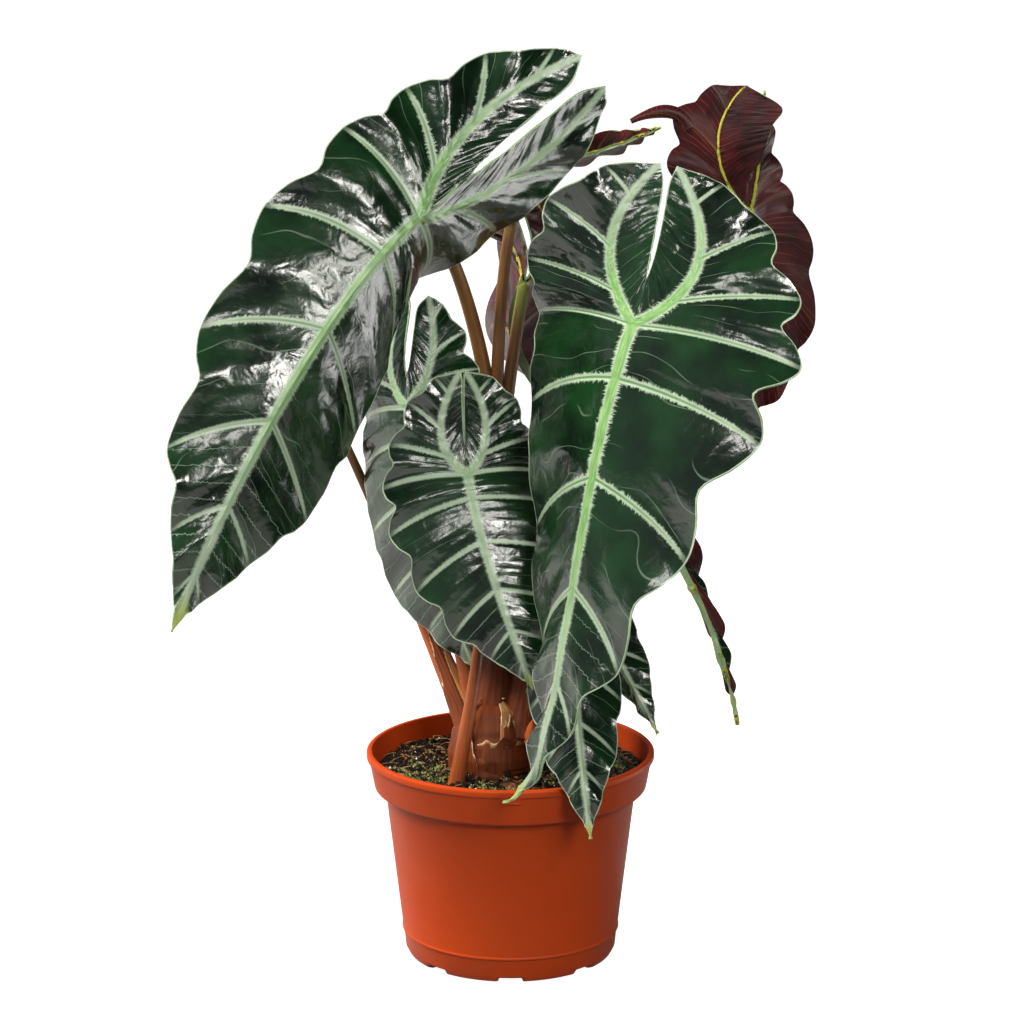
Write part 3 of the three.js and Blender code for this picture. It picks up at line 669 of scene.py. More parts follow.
# One half of the flat blade, in midrib lengths: root of each side vein on the spine, and its end.
VEINS = np.array(
    [
        (1.00, 1.000, 0.000),
        (0.87, 0.930, 0.034),
        (0.72, 0.815, 0.108),
        (0.53, 0.670, 0.208),
        (0.31, 0.435, 0.275),
        (0.11, 0.180, 0.305),
        (0.00, -0.010, 0.290),
        (-0.11, -0.165, 0.255),
        (-0.25, -0.335, 0.190),
        (-0.39, -0.445, 0.098),
        (-0.475, -0.475, 0.045),
    ]
)
NOTCHES = (0.010, 0.008, 0.022, 0.040, 0.044, 0.044, 0.032, 0.030, 0.012, 0.0)
NOTCH_SHAPE = ((0.25, 0.3), (0.5, 1.0), (0.75, 0.3))
VEIN_SIZE = (0.0, 0.2, 0.4, 0.75, 0.95, 1.0, 1.0, 0.95, 0.8, 0.35, 0.0)
LAST = len(VEINS) - 1
JOINT_VEIN = 6
LOBE_LENGTH = 0.475
LOBE_VEIN = np.array([(0, 0), (-0.17, 0.15), (-LOBE_LENGTH, 0.045)])
SINUS = np.array([(-0.13, 0), (-0.18, 0.010), (-0.26, 0.014), (-0.34, 0.014), (-0.42, 0.016), (-LOBE_LENGTH, 0.045)])
FRONT = (0.0, -0.975, 0.222)
KNOTS = (-LOBE_LENGTH, 0, 1)  # lobes, joint and tip, where the tables of a blade hold values
SPINE_SAMPLES = 240
VEIN_SAMPLES = 40
CURVE_SAMPLES = 600
SHEET = 0.6  # thickness of folds and rolled ends, in millimetres

# Half widths in millimetres of the midrib by root and of a side vein by the share out, on a blade whose
# midrib has the full length.
RIB_HALF_WIDTH = ((-LOBE_LENGTH, -0.2, 0, 0.3, 0.75, 1), (0.45, 1.3, 2.2, 1.75, 1.0, 0.3))
VEIN_HALF_WIDTH = ((0, 0.7, 1), (1.1, 0.7, 0.3))
FULL_LENGTH = 200
NO_VEIN = 99.0  # distance that stands for none near

# Shifts in millimetres that give each half, the lobes and each vein a pattern of their own.
HALF_SHIFT = 40.0
LOBE_SHIFT = 20.0
VEIN_SHIFT = 60.0


def splined(rows: Array, t: Array) -> Array:
    """Catmull-Rom values through the rows of a table, with t counted in rows."""
    padded = np.vstack([2 * rows[0] - rows[1], rows, 2 * rows[-1] - rows[-2]])
    i = np.clip(np.floor(t).astype(int), 0, len(rows) - 2)
    f = (t - i)[:, None]
    a, b, c, d = padded[i], padded[i + 1], padded[i + 2], padded[i + 3]
    return 0.5 * (2 * b + (c - a) * f + (2 * a - 5 * b + 4 * c - d) * f**2 + (3 * b - a - 3 * c + d) * f**3)


def bent(points: Sequence, t: Array) -> Array:
    """Points of a Bezier curve through three or four control points, at the shares t."""
    t = np.asarray(t, float)[:, None]
    rest = 1 - t
    if len(points) == 3:
        a, b, c = points
        return rest**2 * a + 2 * t * rest * b + t**2 * c
    a, b, c, d = points
    return rest**3 * a + 3 * t * rest**2 * b + 3 * t**2 * rest * c + t**3 * d


def unit(vectors: Array) -> Array:
    """The rows at length 1."""
    return vectors / np.linalg.norm(vectors, axis=1, keepdims=True)


def even(points: Sequence, count: int) -> tuple[Array, float]:
    """Evenly spaced points of a Bezier curve.

    Args:
        points: Control points.
        count: Number of steps.

    Returns:
        The points and the curve's length.
    """
    fine = bent(points, np.linspace(0, 1, CURVE_SAMPLES))
    walked = np.concatenate([[0], np.cumsum(np.linalg.norm(np.diff(fine, axis=0), axis=1))])
    at = np.linspace(0, walked[-1], count + 1)
    return blended(at, walked, fine), walked[-1]


def nearest(points: Array, line: Array) -> tuple[Array, Array]:
    """Distance from points to a line of many short steps, and the share along it of the nearest place."""
    gap = np.linalg.norm(points[:, None, :] - line[None, :, :], axis=2)
    best = gap.argmin(1)
    a = line[np.maximum(best - 1, 0)]
    b = line[np.minimum(best + 1, len(line) - 1)]
    way = b - a
    share = np.clip(((points - a) * way).sum(1) / np.maximum((way**2).sum(1), 1e-12), 0, 1)
    gap = np.linalg.norm(points - (a + way * share[:, None]), axis=1)
    return gap, best / (len(line) - 1)


class Half(Enum):
    """The two halves of a blade, with the sign of the way across."""

    LEFT = 1
    RIGHT = -1

    @property
    def row(self) -> int:
        """Row of this half in the tables of a blade."""
        return (1 - self.value) // 2


class Outline:
    """One half of a flat blade: the vein of its lobe, the slit beside it and the rows of its margin."""

    def __init__(self, cut: tuple[int, float] | None, slit: float, gape: float) -> None:
        """Works out the rows of root and end at every vein and between the veins.

        Args:
            cut: Notch that is torn deeper, and by how much.
            slit: Widens the slit between the lobes.
            gape: Sets off the end of the lobe.
        """
        end = LOBE_VEIN[-1] * (1, gape)
        self.lobe_vein = np.vstack([LOBE_VEIN[:-1], end])
        self.slit = np.vstack([SINUS[:-1] * (1, slit), end])
        veins = VEINS.copy()
        veins[LAST, 2] = end[1]
        table = []
        for k, row in enumerate(veins[:-1]):
            table.append(row)
            depth = NOTCHES[k] + (cut[1] if cut and cut[0] == k else 0)
            for share, part in NOTCH_SHAPE:
                between = row + (veins[k + 1] - row) * share
                back = self.spine(between[:1])[0] - between[1:]
                pull = back / np.linalg.norm(back) * depth * part
                table.append(np.concatenate([between[:1], between[1:] + pull]))
        self.rows = np.array([*table, veins[LAST]])

    def spine(self, root: Array) -> Array:
        """Flat point of the spine for roots from -0.475 at the end of a lobe to 1 at the tip."""
        lobe = bent(self.lobe_vein, np.clip(-root / LOBE_LENGTH, 0, 1))
        return np.where((root >= 0)[:, None], np.stack([root, 0 * root], 1), lobe)

    def margin(self, w: Array) -> Array:
        """Root, end u and end v for a vein count w."""
        return splined(self.rows, w * (len(NOTCH_SHAPE) + 1))

    def outer(self, w: Array, across: Array) -> Array:
        """Flat points of the outer part: w counts veins from the tip, across goes out to the margin."""
        row = self.margin(w)
        start, end = self.spine(row[:, 0]), row[:, 1:]
        reach = np.linalg.norm(end - start, axis=1, keepdims=True)
        handle = start + (end - start) * 0.55 - reach * np.array([0.1, 0])
        s = across[:, None]
        return (1 - s) ** 2 * start + 2 * s * (1 - s) * handle + s**2 * end

    def inner(self, w: Array, across: Array) -> Array:
        """Flat points between the vein of a lobe and the slit between the lobes."""
        start = self.spine(self.margin(w)[:, 0])
        end = splined(self.slit, (w - JOINT_VEIN) / (LAST - JOINT_VEIN) * (len(SINUS) - 1))
        return start + (end - start) * across[:, None]


@dataclass
class Blade:
    """An arrow-shaped leaf blade, waved and quilted, with raised ribs below.

    The five spine points are the end of the back lobes, the joint, two handles of the midrib and the
    tip, in millimetres. The tables give values at lobes, joint and tip, for the left and right half.
    Quilt, wave and droop reach are in midrib lengths, all other sizes in millimetres.
    """

    name: str
    spine: Sequence[Triple]
    fold: Sequence[Triple]
    droop: Sequence[Triple] = ((10, 15, 10), (10, 15, 10))
    width: Sequence[Triple] = ((1, 1, 1), (1, 1, 1))
    roll: Triple = (0, 0, 0)
    face: Sequence[Triple] = (FRONT, FRONT, FRONT)
    cut: dict[Half, tuple[int, float]] = field(default_factory=dict)
    sinus: Sequence[tuple[float, float]] = ((1, 1), (1, 1))
    fine: float = 1.0
    slot: str = "leaf"
    thickness: float = 0.9
    rib: float = 2.4
    side_rib: float = 1.3
    quilt: float = 0.014
    wave: float = 0.02
    droop_reach: float = 0.33
    rib_rise: float = 0.35
    groove_depth: float = 0.22
    ripple: float = 0.55
    swell: float = 1.1

    def __post_init__(self) -> None:
        """Samples the spine with its frames."""
        tail, joint, a, b, tip = (np.array(p, float) for p in self.spine)
        midrib, self.length = even((joint, a, b, tip), SPINE_SAMPLES)
        handle = joint + unit((joint - a)[None])[0] * 0.4 * np.linalg.norm(tail - joint)
        lobes, _ = even((joint, handle, tail), SPINE_SAMPLES)
        steps = np.linspace(0, 1, SPINE_SAMPLES + 1)
        self.u = np.concatenate([-LOBE_LENGTH * steps[:0:-1], steps])
        self.centre = np.vstack([lobes[:0:-1], midrib])
        self.tangent = unit(np.gradient(self.centre, axis=0))
        look = blended(self.u, KNOTS, np.array(self.face, float))
        look = unit(look - (look * self.tangent).sum(1, keepdims=True) * self.tangent)
        turn = -np.radians(self.along(self.roll, self.u))[:, None]
        self.normal = look * np.cos(turn) + np.cross(self.tangent, look) * np.sin(turn)
        self.across = np.cross(self.tangent, self.normal)
        self.seed = name_seed(self.name, 97)
        self.outlines = {half: Outline(self.cut.get(half), *sizes) for half, sizes in zip(Half, self.sinus)}

    @staticmethod
    def along(values: Sequence[float], u: Array) -> Array:
        """Values at lobes, joint and tip, blended by u."""
        return np.interp(u, KNOTS, values)

    def place(self, flat: Array, half: Half, rise: Array) -> Array:
        """Points in space for flat points, lifted off the bent surface by rise, in millimetres."""
        u, v = flat[:, 0], flat[:, 1]
        wide = v * self.along(self.width[half.row], u)
        fold = np.radians(self.along(self.fold[half.row], u))
        curl = np.radians(self.along(self.droop[half.row], u)) / self.droop_reach
        curl = np.where(np.abs(curl) < 1e-4, 1e-4, curl)
        slope = fold - curl * wide
        out = (np.sin(fold) - np.sin(slope)) / curl * self.length - np.sin(slope) * rise
        up = (np.cos(slope) - np.cos(fold)) / curl * self.length + np.cos(slope) * rise
        centre, across, normal = (blended(u, self.u, table) for table in (self.centre, self.across, self.normal))
        return centre + across * (half.value * out)[:, None] + normal * up[:, None]

    def rise(self, w: Array, across: Array) -> Array:
        """Bulge between the side veins and wave of the margin, in millimetres."""
        fade = np.minimum(1, np.minimum(w, LAST - w) / 1.5)
        bump = np.sin(np.pi * w) ** 2
        quilt = self.quilt * bump * across**0.8 * (1 - 0.35 * across)
        return (quilt + self.wave * (bump - 0.5) * across**2) * fade * self.length

    def lines(self, half: Half, flat: Array, w: Array, across: Array, inner: bool) -> dict[str, Array]:
        """Distances from the veins and the margin, in millimetres.

        Args:
            half: Half of the blade.
            flat: Flat points.
            w: Vein count of each point.
            across: Share of the way out of each point.
            inner: True between the lobes.

        Returns:
            The attributes spine, vein and edge.
        """
        outline = self.outlines[half]
        roots = np.linspace(-LOBE_LENGTH, 1, SPINE_SAMPLES)

        def sized(points: Array) -> Array:
            """Flat points at their real width, in millimetres."""
            spread = self.along(self.width[half.row], points[:, 0])
            return np.stack([points[:, 0], points[:, 1] * spread], 1) * self.length

        real = sized(flat)
        spine_gap, spine_share = nearest(real, sized(outline.spine(roots)))
        root = -LOBE_LENGTH + spine_share * (1 + LOBE_LENGTH)
        size = np.clip(self.length / FULL_LENGTH, 0.45, 1.1)
        half_width = size * np.interp(root, *RIB_HALF_WIDTH)
        vein_gap = np.full(len(flat), NO_VEIN)
        vein_walk = np.zeros(len(flat))
        vein_half = np.full(len(flat), 0.4)
        steps = np.linspace(0, 1, VEIN_SAMPLES)
        for k in range(1, LAST):
            line = sized(outline.outer(np.full(VEIN_SAMPLES, float(k)), steps))
            gap, share = nearest(real, line)
            closer = gap < vein_gap
            walk = share * np.linalg.norm(line[-1] - line[0])
            taper = size * np.interp(share, *VEIN_HALF_WIDTH) * VEIN_SIZE[k]
            vein_gap = np.where(closer, gap, vein_gap)
            vein_walk = np.where(closer, walk, vein_walk)
            vein_half = np.where(closer, taper, vein_half)
        far = (outline.inner if inner else outline.outer)(w, np.ones(len(w)))
        edge_gap = np.linalg.norm(sized(far) - real, axis=1)
        shift = HALF_SHIFT * half.value + (LOBE_SHIFT if inner else 0.0)
        return {
            "spine": np.stack([spine_gap, root * self.length + shift, half_width], 1),
            "vein": np.stack([vein_gap, vein_walk + VEIN_SHIFT * np.round(w) + shift, vein_half], 1),
            "edge": np.stack([edge_gap, w, across], 1),
        }

    def relief(self, lines: dict[str, Array]) -> Array:
        """Ribs, grooves and small ripples of the upper face, in millimetres."""
        spine, vein, edge = lines["spine"], lines["vein"], lines["edge"]
        rib = self.rib_rise * spine[:, 2] / 2 * np.exp(-((spine[:, 0] / (spine[:, 2] * 0.9)) ** 2))
        groove = self.groove_depth * np.exp(-((vein[:, 0] / 1.1) ** 2)) * np.clip(edge[:, 0] / 3, 0, 1)
        scale = self.length / 150
        where = np.stack([edge[:, 1] * 3.6 * scale, edge[:, 2] * 1.8 * scale, edge[:, 0] * 0], 1)
        ripple = smooth_noise(where, 1.0, 2, self.seed) * self.ripple
        swell = smooth_noise(where, 2.6, 1, self.seed + 9) * self.swell
        calm = np.clip(np.minimum(spine[:, 0] / 6, edge[:, 0] / 3), 0, 1) * np.clip(vein[:, 0] / 3, 0, 1)
        calm *= np.clip(edge[:, 1] / 2.5, 0.15, 1)
        return rib - groove + (ripple + swell) * calm

    def gauge(self, lines: dict[str, Array]) -> Array:
        """Thickness of the blade with its ribs, in millimetres."""
        spine, vein, edge = lines["spine"], lines["vein"], lines["edge"]
        size = np.clip(spine[:, 2] / 2.1, 0.15, 1)
        rib = (self.rib - self.thickness) * size * np.exp(-((spine[:, 0] / (spine[:, 2] * 0.85)) ** 2))
        side = (self.side_rib - self.thickness) * np.exp(-((vein[:, 0] / vein[:, 2]) ** 2)) * (1 - edge[:, 2])
        return np.minimum(self.thickness + rib + side, self.rib)

    def build(self) -> bpy.types.Object:
        """Builds the blade as one closed skin."""
        bm = blank("spine", "vein", "edge")
        weights = bm.verts.layers.deform.verify()
        steps = max(12, round(26 * self.fine))
        cells = max(14, round(38 * self.fine))

        def add_quarter(half: Half, inner: bool) -> None:
            """Adds one quarter of the upper face: a half outside or between the lobes."""
            first = JOINT_VEIN if inner else 0
            columns = (LAST - first) * steps
            rows = max(5, cells // 4) if inner else cells
            kept: dict[str, Array] = {}

            def on_face(x: Array, y: Array) -> Array:
                """Points of the face for shares along and across."""
                count = first + x * (LAST - first)
                whole = np.floor(count)
                part = count - whole
                # the cells are narrower at the side veins, and outside also at the midrib
                w = whole + part - 0.6 * np.sin(2 * np.pi * part) / (2 * np.pi)
                across = y if inner else 0.35 * y + 0.65 * y**1.9
                outline = self.outlines[half]
                flat = (outline.inner if inner else outline.outer)(w, across)
                lift = np.zeros(len(w)) if inner else self.rise(w, across)
                found = self.lines(half, flat, w, across, inner)
                kept.update(found)
                return self.place(flat, half, lift + self.relief(found))

            flip = (half is Half.LEFT) == inner
            verts, _, _ = mapped_grid(bm, (columns, rows), on_face, flip)
            for name, values in kept.items():
                lay(bm, verts, name, values.T)
            for vert, thick in zip(verts, self.gauge(kept)):
                vert[weights][0] = thick / self.rib

        for half in Half:
            add_quarter(half, False)
            add_quarter(half, True)
        bmesh.ops.remove_doubles(bm, verts=bm.verts, dist=MERGE)
        bmesh.ops.dissolve_degenerate(bm, edges=bm.edges, dist=0.01 * MM)
        for edge in bm.edges:
            edge.smooth = not edge.is_boundary
        made = piece(bm, self.name.replace("blade", "leaf"), (UPPER, UNDER, RIM), self.name)
        made.vertex_groups.new(name="gauge")
        skin = made.modifiers.new("skin", "SOLIDIFY")
        skin.thickness = self.rib * MM
        skin.offset = -1
        skin.vertex_group = "gauge"
        skin.material_offset = 1
        skin.material_offset_rim = 2
        return made

    def web(self, half: Half, vein: float, reach: float) -> bpy.types.Object:
        """Builds a small turned-back fold that fills a notch and shows the under skin.

        Args:
            half: Half of the blade with the notch.
            vein: Vein count at the bottom of the notch.
            reach: How far the fold goes up each side, in veins.

        Returns:
            The new piece.
        """

        def margin(w: Array) -> Array:
            """Points of the margin."""
            ones = np.ones(len(w))
            return self.place(self.outlines[half].outer(w, ones), half, self.rise(w, ones) - 0.4)

        def on_fold(x: Array, y: Array) -> Array:
            """Points of the fold for shares out of the notch and across it."""
            low, high = margin(vein - reach * x), margin(vein + reach * x)
            bulge = np.array(FRONT) * (2.2 * np.sin(np.pi * y) * x)[:, None]
            return low + (high - low) * y[:, None] + bulge

        attributes = {
            "spine": lambda x, y: (NO_VEIN, x * 20, 0.4),
            "vein": lambda x, y: (NO_VEIN, x * 20, 0.4),
            "edge": lambda x, y: ((1 - x) * 14, 3 + y * 0.8, 0.5),
        }
        name = self.name.replace("blade", "fold")
        return surfaced(name, (UNDER, RIM), self.name, (30, 18), on_fold, attributes, SHEET)

    def joint(self) -> Array:
        """Where the stalk ends: half a rib under the joint."""
        at = SPINE_SAMPLES
        return self.centre[at] - self.normal[at] * 0.5 * self.rib


LEAVES = (
    Blade(
        "blade_upper_left",
        ((35, 25, 367), (-36, -15, 312), (-69, -40, 287), (-108, -70, 218), (-132, -80, 159)),
        fold=((-15, -20, -20), (-20, -30, 0)),
        droop=((10, 20, 10), (10, 30, 10)),
        width=((1.0, 0.85, 0.75), (0.9, 0.85, 1.0)),
        roll=(10, 30, 20),
        cut={Half.RIGHT: (5, 0.16)},
    ),
    Blade(
        "blade_right_front",
        ((62, -35, 336), (47, -60, 277), (21, -84, 211), (20, -92, 94), (-3, -84, 92)),
        fold=((5, -20, -50), (0, 10, 10)),
        droop=((0, 15, 10), (10, 20, 10)),
        width=((1.3, 1.05, 0.5), (1.15, 1.25, 0.35)),
        roll=(0, -25, -30),
        sinus=((0.3, 0.3), (0.3, 0.3)),
    ),
    Blade(
        "blade_centre",
        ((-19, -18, 251), (-17, -28, 211), (-13, -42, 187), (-2, -50, 158), (9, -52, 128)),
        fold=((-10, -10, -10), (-10, -10, -10)),
        droop=((10, 10, 10), (10, 10, 10)),
        width=((1.3, 1.35, 1.2), (1.5, 1.25, 1.2)),
        sinus=((0.15, 0.15), (0.15, 0.15)),
        roll=(12, 8, 0),
        fine=0.8,
    ),
    Blade(
        "blade_centre_back",
        ((-39, 16, 277), (-42, -2, 233), (-39, -10, 206), (-29, -16, 156), (-13, -13, 124)),
        fold=((-10, -30, -30), (-10, -10, -10)),
        droop=((10, 20, 10), (10, 10, 10)),
        width=((0.8, 1.2, 1.6), (1.1, 1.0, 1.0)),
        roll=(-25, -20, -10),
        fine=0.8,
    ),
    Blade(
        "blade_right_back",
        ((103, 45, 358), (100, 45, 308), (119, 72, 257), (104, 76, 234), (77, 70, 196)),
        face=((0.1, 1, 0), (0.1, 1, 0), (0.3, 1, 0)),
        fold=((50, 10, 10), (10, 10, 10)),
        droop=((10, 0, 0), (0, -5, 0)),
        width=((0.45, 0.5, 0.78), (1.65, 0.7, 0.8)),
        sinus=((1, 1), (-3.5, 0.6)),
        slot="leaf_maroon",
    ),
    Blade(
        "blade_top_back",
        ((-2, 37, 320), (5, 40, 323), (21, 44, 329), (43, 46, 333), (62, 40, 343)),
        face=((0, 0.6, 0.8), (0, 0.8, 0.6), (0, 0.8, 0.6)),
        fold=((40, 40, 30), (40, 40, 30)),
        droop=((10, 0, 0), (10, 0, 0)),
        width=((0.5, 0.5, 0.5), (0.6, 1.0, 1.0)),
        fine=0.7,
        slot="leaf_maroon",
    ),
    Blade(
        "blade_middle_back",
        ((1, 36, 313), (6, 38, 279), (-21, 50, 223), (72, 62, 211), (97, 30, 89)),
        face=((0, 1, 0), (0, 1, 0), (0.3, 1, 0)),
        fold=((60, 76, 85), (60, 75, 85)),
        droop=((0, 0, 0), (0, 0, 0)),
        width=((1, 0.9, 0.3), (1, 0.85, 0.3)),
        slot="leaf_maroon",
    ),
    Blade(
        "blade_low_front",
        ((20, -14, 194), (22, -26, 160), (25, -42, 136), (28, -64, 103), (32, -69, 71)),
        fold=((-25, -25, -25), (-25, -25, -25)),
        width=((0.8, 0.8, 0.8), (0.8, 0.8, 0.8)),
        fine=0.7,
    ),
    Blade(
        "blade_low_right",
        ((8, 19, 194), (20, 14, 166), (32, 8, 147), (49, -2, 119), (61, -10, 97)),
        fold=((-45, -45, -45), (-30, -30, -25)),
        width=((0.55, 0.55, 0.55), (0.75, 0.75, 0.75)),
        fine=0.6,
    ),
    Blade(
        "blade_left_back",
        ((-71, 14, 280), (-84, 11, 251), (-92, 6, 236), (-106, 0, 220), (-113, 0, 199)),
        fold=((-15, -15, -15), (-15, -15, -15)),
        width=((0.9, 0.9, 0.9), (0.9, 0.9, 0.9)),
        fine=0.6,
    ),
)


@dataclass(frozen=True)
class RolledEnd:
    """The end of a back lobe, rolled up on itself like a scroll."""

    name: str
    node: str
    path: Sequence[Triple]
    thick: float
    thin: float
    turns: float = 1.7
    slot: str = "leaf_maroon"

    def build(self) -> bpy.types.Object:
        """Builds the scroll as one thin sheet."""
        points, length = even([np.array(p, float) for p in self.path], 60)
        grid = np.linspace(0, 1, 61)
        tangent = unit(np.gradient(points, axis=0))
        first = unit(np.cross(tangent, np.array([(0.0, 0.0, 1.0)])))
        second = np.cross(tangent, first)

        def on_scroll(x: Array, y: Array) -> Array:
            """Points of the scroll for shares along and round."""
            centre, one, two = (blended(x, grid, table) for table in (points, first, second))
            wave = 1 + 0.08 * np.sin(11 * x + 2 * y)
            r = (self.thick + (self.thin - self.thick) * x**2) * (0.3 + 0.7 * y) * wave
            angle = 2 * np.pi * self.turns * y + 1.5 * x
            return centre + one * (r * np.cos(angle))[:, None] + two * (r * np.sin(angle))[:, None]

        attributes = {
            "spine": lambda x, y: (NO_VEIN, x * length, 0.4),
            "vein": lambda x, y: (np.abs(y - 0.8) * 30, x * length, 0.5),
            "edge": lambda x, y: ((1 - y) * 25, 6 + x * 2.5, y),
        }
        return surfaced(self.name, (UNDER, RIM), self.node, (60, 64), on_scroll, attributes, SHEET)


ROLLED_LOBE = RolledEnd(
    "rolled_lobe",
    "blade_right_back",
    ((75, 49.5, 341), (70, 50.5, 350), (60, 49.5, 349), (50, 48, 344)),
    3.2,
    0.9,
)


# ---- stalks and crown -------------------------------------------------------------------------------


@dataclass
class Post:
    """An upright round body that sheaths can wrap: its axis and its radius at even steps."""

    points: Array
    radius: Array
    length: float

    def __post_init__(self) -> None:
        """Works out two directions square to the axis; the first one faces the plant's best side."""
        self.tangent = unit(np.gradient(self.points, axis=0))
        front = np.array([(0.0, -1.0, 0.0)])
        self.first = unit(front - (front * self.tangent).sum(1, keepdims=True) * self.tangent)
        self.second = np.cross(self.tangent, self.first)

    def skin(self, share: Array, angle: Array, off: Array) -> Array:
        """Points off the skin, for shares along and angles round from the front."""
        at = share * (len(self.points) - 1)
        grid = np.arange(len(self.points))
        centre, first, second = (blended(at, grid, table) for table in (self.points, self.first, self.second))
        spoke = first * np.cos(angle)[:, None] + second * np.sin(angle)[:, None]
        return centre + spoke * (np.interp(at, grid, self.radius) + off)[:, None]


@dataclass
class Stalk:
    """A leaf stalk from its foot in the crown, by two handles, to the joint of its blade."""

    name: str
    start: Triple
    via: Sequence[Triple]
    foot: float
    neck: float
    node: str = "crown_and_stalks"
    sides: int = 24
    rings: int = 90

    def post(self, joint: Array) -> Post:
        """The stalk's axis and radius up to the joint of its blade."""
        points, length = even((*map(np.array, (self.start, *self.via)), joint), self.rings)
        share = np.linspace(0, 1, self.rings + 1)
        return Post(points, self.neck + (self.foot - self.neck) * (1 - share) ** 3, length)

    def build(self, joint: Array) -> Post:
        """Builds the stalk up to a joint.

        Args:
            joint: Point where it meets its blade, in millimetres.

        Returns:
            Its axis, for the sheaths.
        """
        post = self.post(joint)

        def on_skin(x: Array, y: Array) -> Array:
            """Points of the skin for shares along and round."""
            angle = 2 * np.pi * y
            radius = np.interp(x, np.linspace(0, 1, self.rings + 1), post.radius)
            off = radius * (0.05 * np.cos(2 * angle + 5 * x) + 0.02 * np.sin(5 * angle))
            off = np.where((x < 1e-6) | (x > 1 - 1e-6), -radius, off)
            return post.skin(x, angle, off)

        attributes = {"stem": lambda x, y: (x, x * post.length, np.abs(y - 0.5) * 2)}
        surfaced(self.name, (STALK,), self.node, (self.rings, self.sides), on_skin, attributes)
        return post


STALKS = {
    "blade_upper_left": Stalk("stalk_upper_left", (-8, -2, 92), ((10, 6, 190), (-20, 70, 300)), 9.5, 2.6),
    "blade_top_back": Stalk("stalk_top_back", (-4, 6, 92), ((-6, 24, 181), (-10, 27, 284)), 8, 2.3),
    "blade_middle_back": Stalk("stalk_middle_back", (1, 6, 92), ((-13, 18, 166), (-2, 26, 232)), 8, 2.6),
    "blade_left_back": Stalk("stalk_left_back", (-16, -6, 96), ((-35, 24, 132), (-54, 48, 174)), 5.5, 1.7),
    "blade_centre_back": Stalk("stalk_centre_back", (-13, 0, 96), ((-23, 8, 150), (-37, 14, 191)), 6, 1.9),
    "blade_right_front": Stalk("stalk_right_front", (4, -8, 94), ((8, 14, 165), (60, 14, 215)), 8.5, 2.6),
    "blade_right_back": Stalk("stalk_right_back", (8, 6, 92), ((18, 58, 176), (96, 22, 236)), 8, 2.5),
    "blade_low_front": Stalk("stalk_low_front", (6, -10, 94), ((10, -6, 130), (24, 2, 145)), 5, 1.7),
    "blade_low_right": Stalk("stalk_low_right", (8, -2, 94), ((12, 12, 128), (16, 36, 160)), 5, 1.7),
    "blade_centre": Stalk("young_stalk", (-25, -22, 66), ((-15, -34, 121), (-4, -6, 168)), 4.2, 1.9, "centre_stalk"),
}


@dataclass
class Sheath:
    """A dry leaf sheath that wraps the foot of a stalk, ribbed lengthwise and torn along its top.

    Shares run along the post. The angles are in degrees, measured from the front; gap is how far it lies
    off the post, flare how much further its torn top stands off and paper its thickness, in millimetres.
    Keen makes the top pointed.
    """

    name: str
    wraps: str
    low: float
    top: float
    facing: float
    span: float
    gap: float = 0.8
    flare: float = 2.0
    keen: float = 0.5
    ragged: float = 0.16
    slant: float = 0.0
    finish: Finish = SHEATH
    paper: float = 0.35

    def build(self, post: Post) -> bpy.types.Object:
        """Builds the sheath as a thin sheet round its post."""
        seed = name_seed(self.name, 61)

        def on_sheath(x: Array, y: Array) -> Array:
            """Points of the sheet for shares up and round."""
            across = 2 * y - 1
            tear = smooth_noise(np.stack([y * 9, 0 * y], 1), 1.0, 5, seed) * self.ragged
            reach = np.clip(1 - self.keen * np.abs(across) ** 1.5 + tear - self.slant * across, 0.15, 1.3)
            share = self.low + (self.top - self.low) * x * reach
            angle = np.radians(self.facing + self.span / 2 * across * (1 - 0.15 * x))
            rib = 0.07 * np.sin(angle * 17 + seed + 2 * np.sin(angle * 3)) * (0.4 + x)
            curl = self.flare * (x * reach) ** 3 * (0.6 + 0.4 * np.cos(across * 5 + seed))
            return post.skin(share, angle, self.gap + rib + curl)

        length = post.length * (self.top - self.low)
        attributes = {"stem": lambda x, y: (x, x * length, y * 2)}
        return surfaced(
            self.name, (self.finish,), "crown_and_stalks", (36, 110), on_sheath, attributes, self.paper
        )


SHEATHS = (
    Sheath("sheath_front", "stalk_right_front", 0.0, 0.2, -10, 230, 0.8, 3.0, 0.5),
    Sheath("sheath_middle", "stalk_upper_left", 0.0, 0.25, -20, 250, 0.9, 1.6, 0.7),
    Sheath("sheath_left", "stalk_left_back", 0.0, 0.3, 30, 190, 0.7, 2.4, 0.8),
    Sheath("sheath_back", "stalk_top_back", 0.0, 0.22, 20, 230, 0.8, 2.0, 0.5),
    Sheath("sheath_right", "stalk_right_back", 0.0, 0.24, 30, 240, 0.8, 2.4, 0.6),
    Sheath("sheath_low", "stalk_low_front", 0.0, 0.34, 0, 220, 0.6, 2.2, 0.4),
    Sheath("scale_left", "root_crown", 0.12, 0.95, -55, 80, 1.6, 2.0, 0.6, 0.1, 0.1),
    Sheath("scale_back", "root_crown", 0.1, 0.9, 160, 120, 1.2, 2.4, 0.5, 0.14, 0.1),
    Sheath("scale_side", "root_crown", 0.1, 0.8, 95, 90, 1.0, 2.2, 0.5, 0.14, 0.2),
    Sheath("collar_front", "root_crown", 0.25, 0.6, -12, 150, 0.5, 1.2, 0.2, 0.12, -0.35),
    Sheath("collar_right", "root_crown", 0.3, 0.85, 55, 90, 0.9, 2.8, 0.5, 0.25, 0.3),
    Sheath("flange_right", "root_crown", 0.55, 1.1, 38, 60, 1.2, 4.0, 0.8, 0.35, 0.2, STRAW),
    Sheath("flange_left", "stalk_left_back", 0.02, 0.34, 70, 90, 1.3, 3.0, 0.9, 0.25, 0.2, STRAW),
)


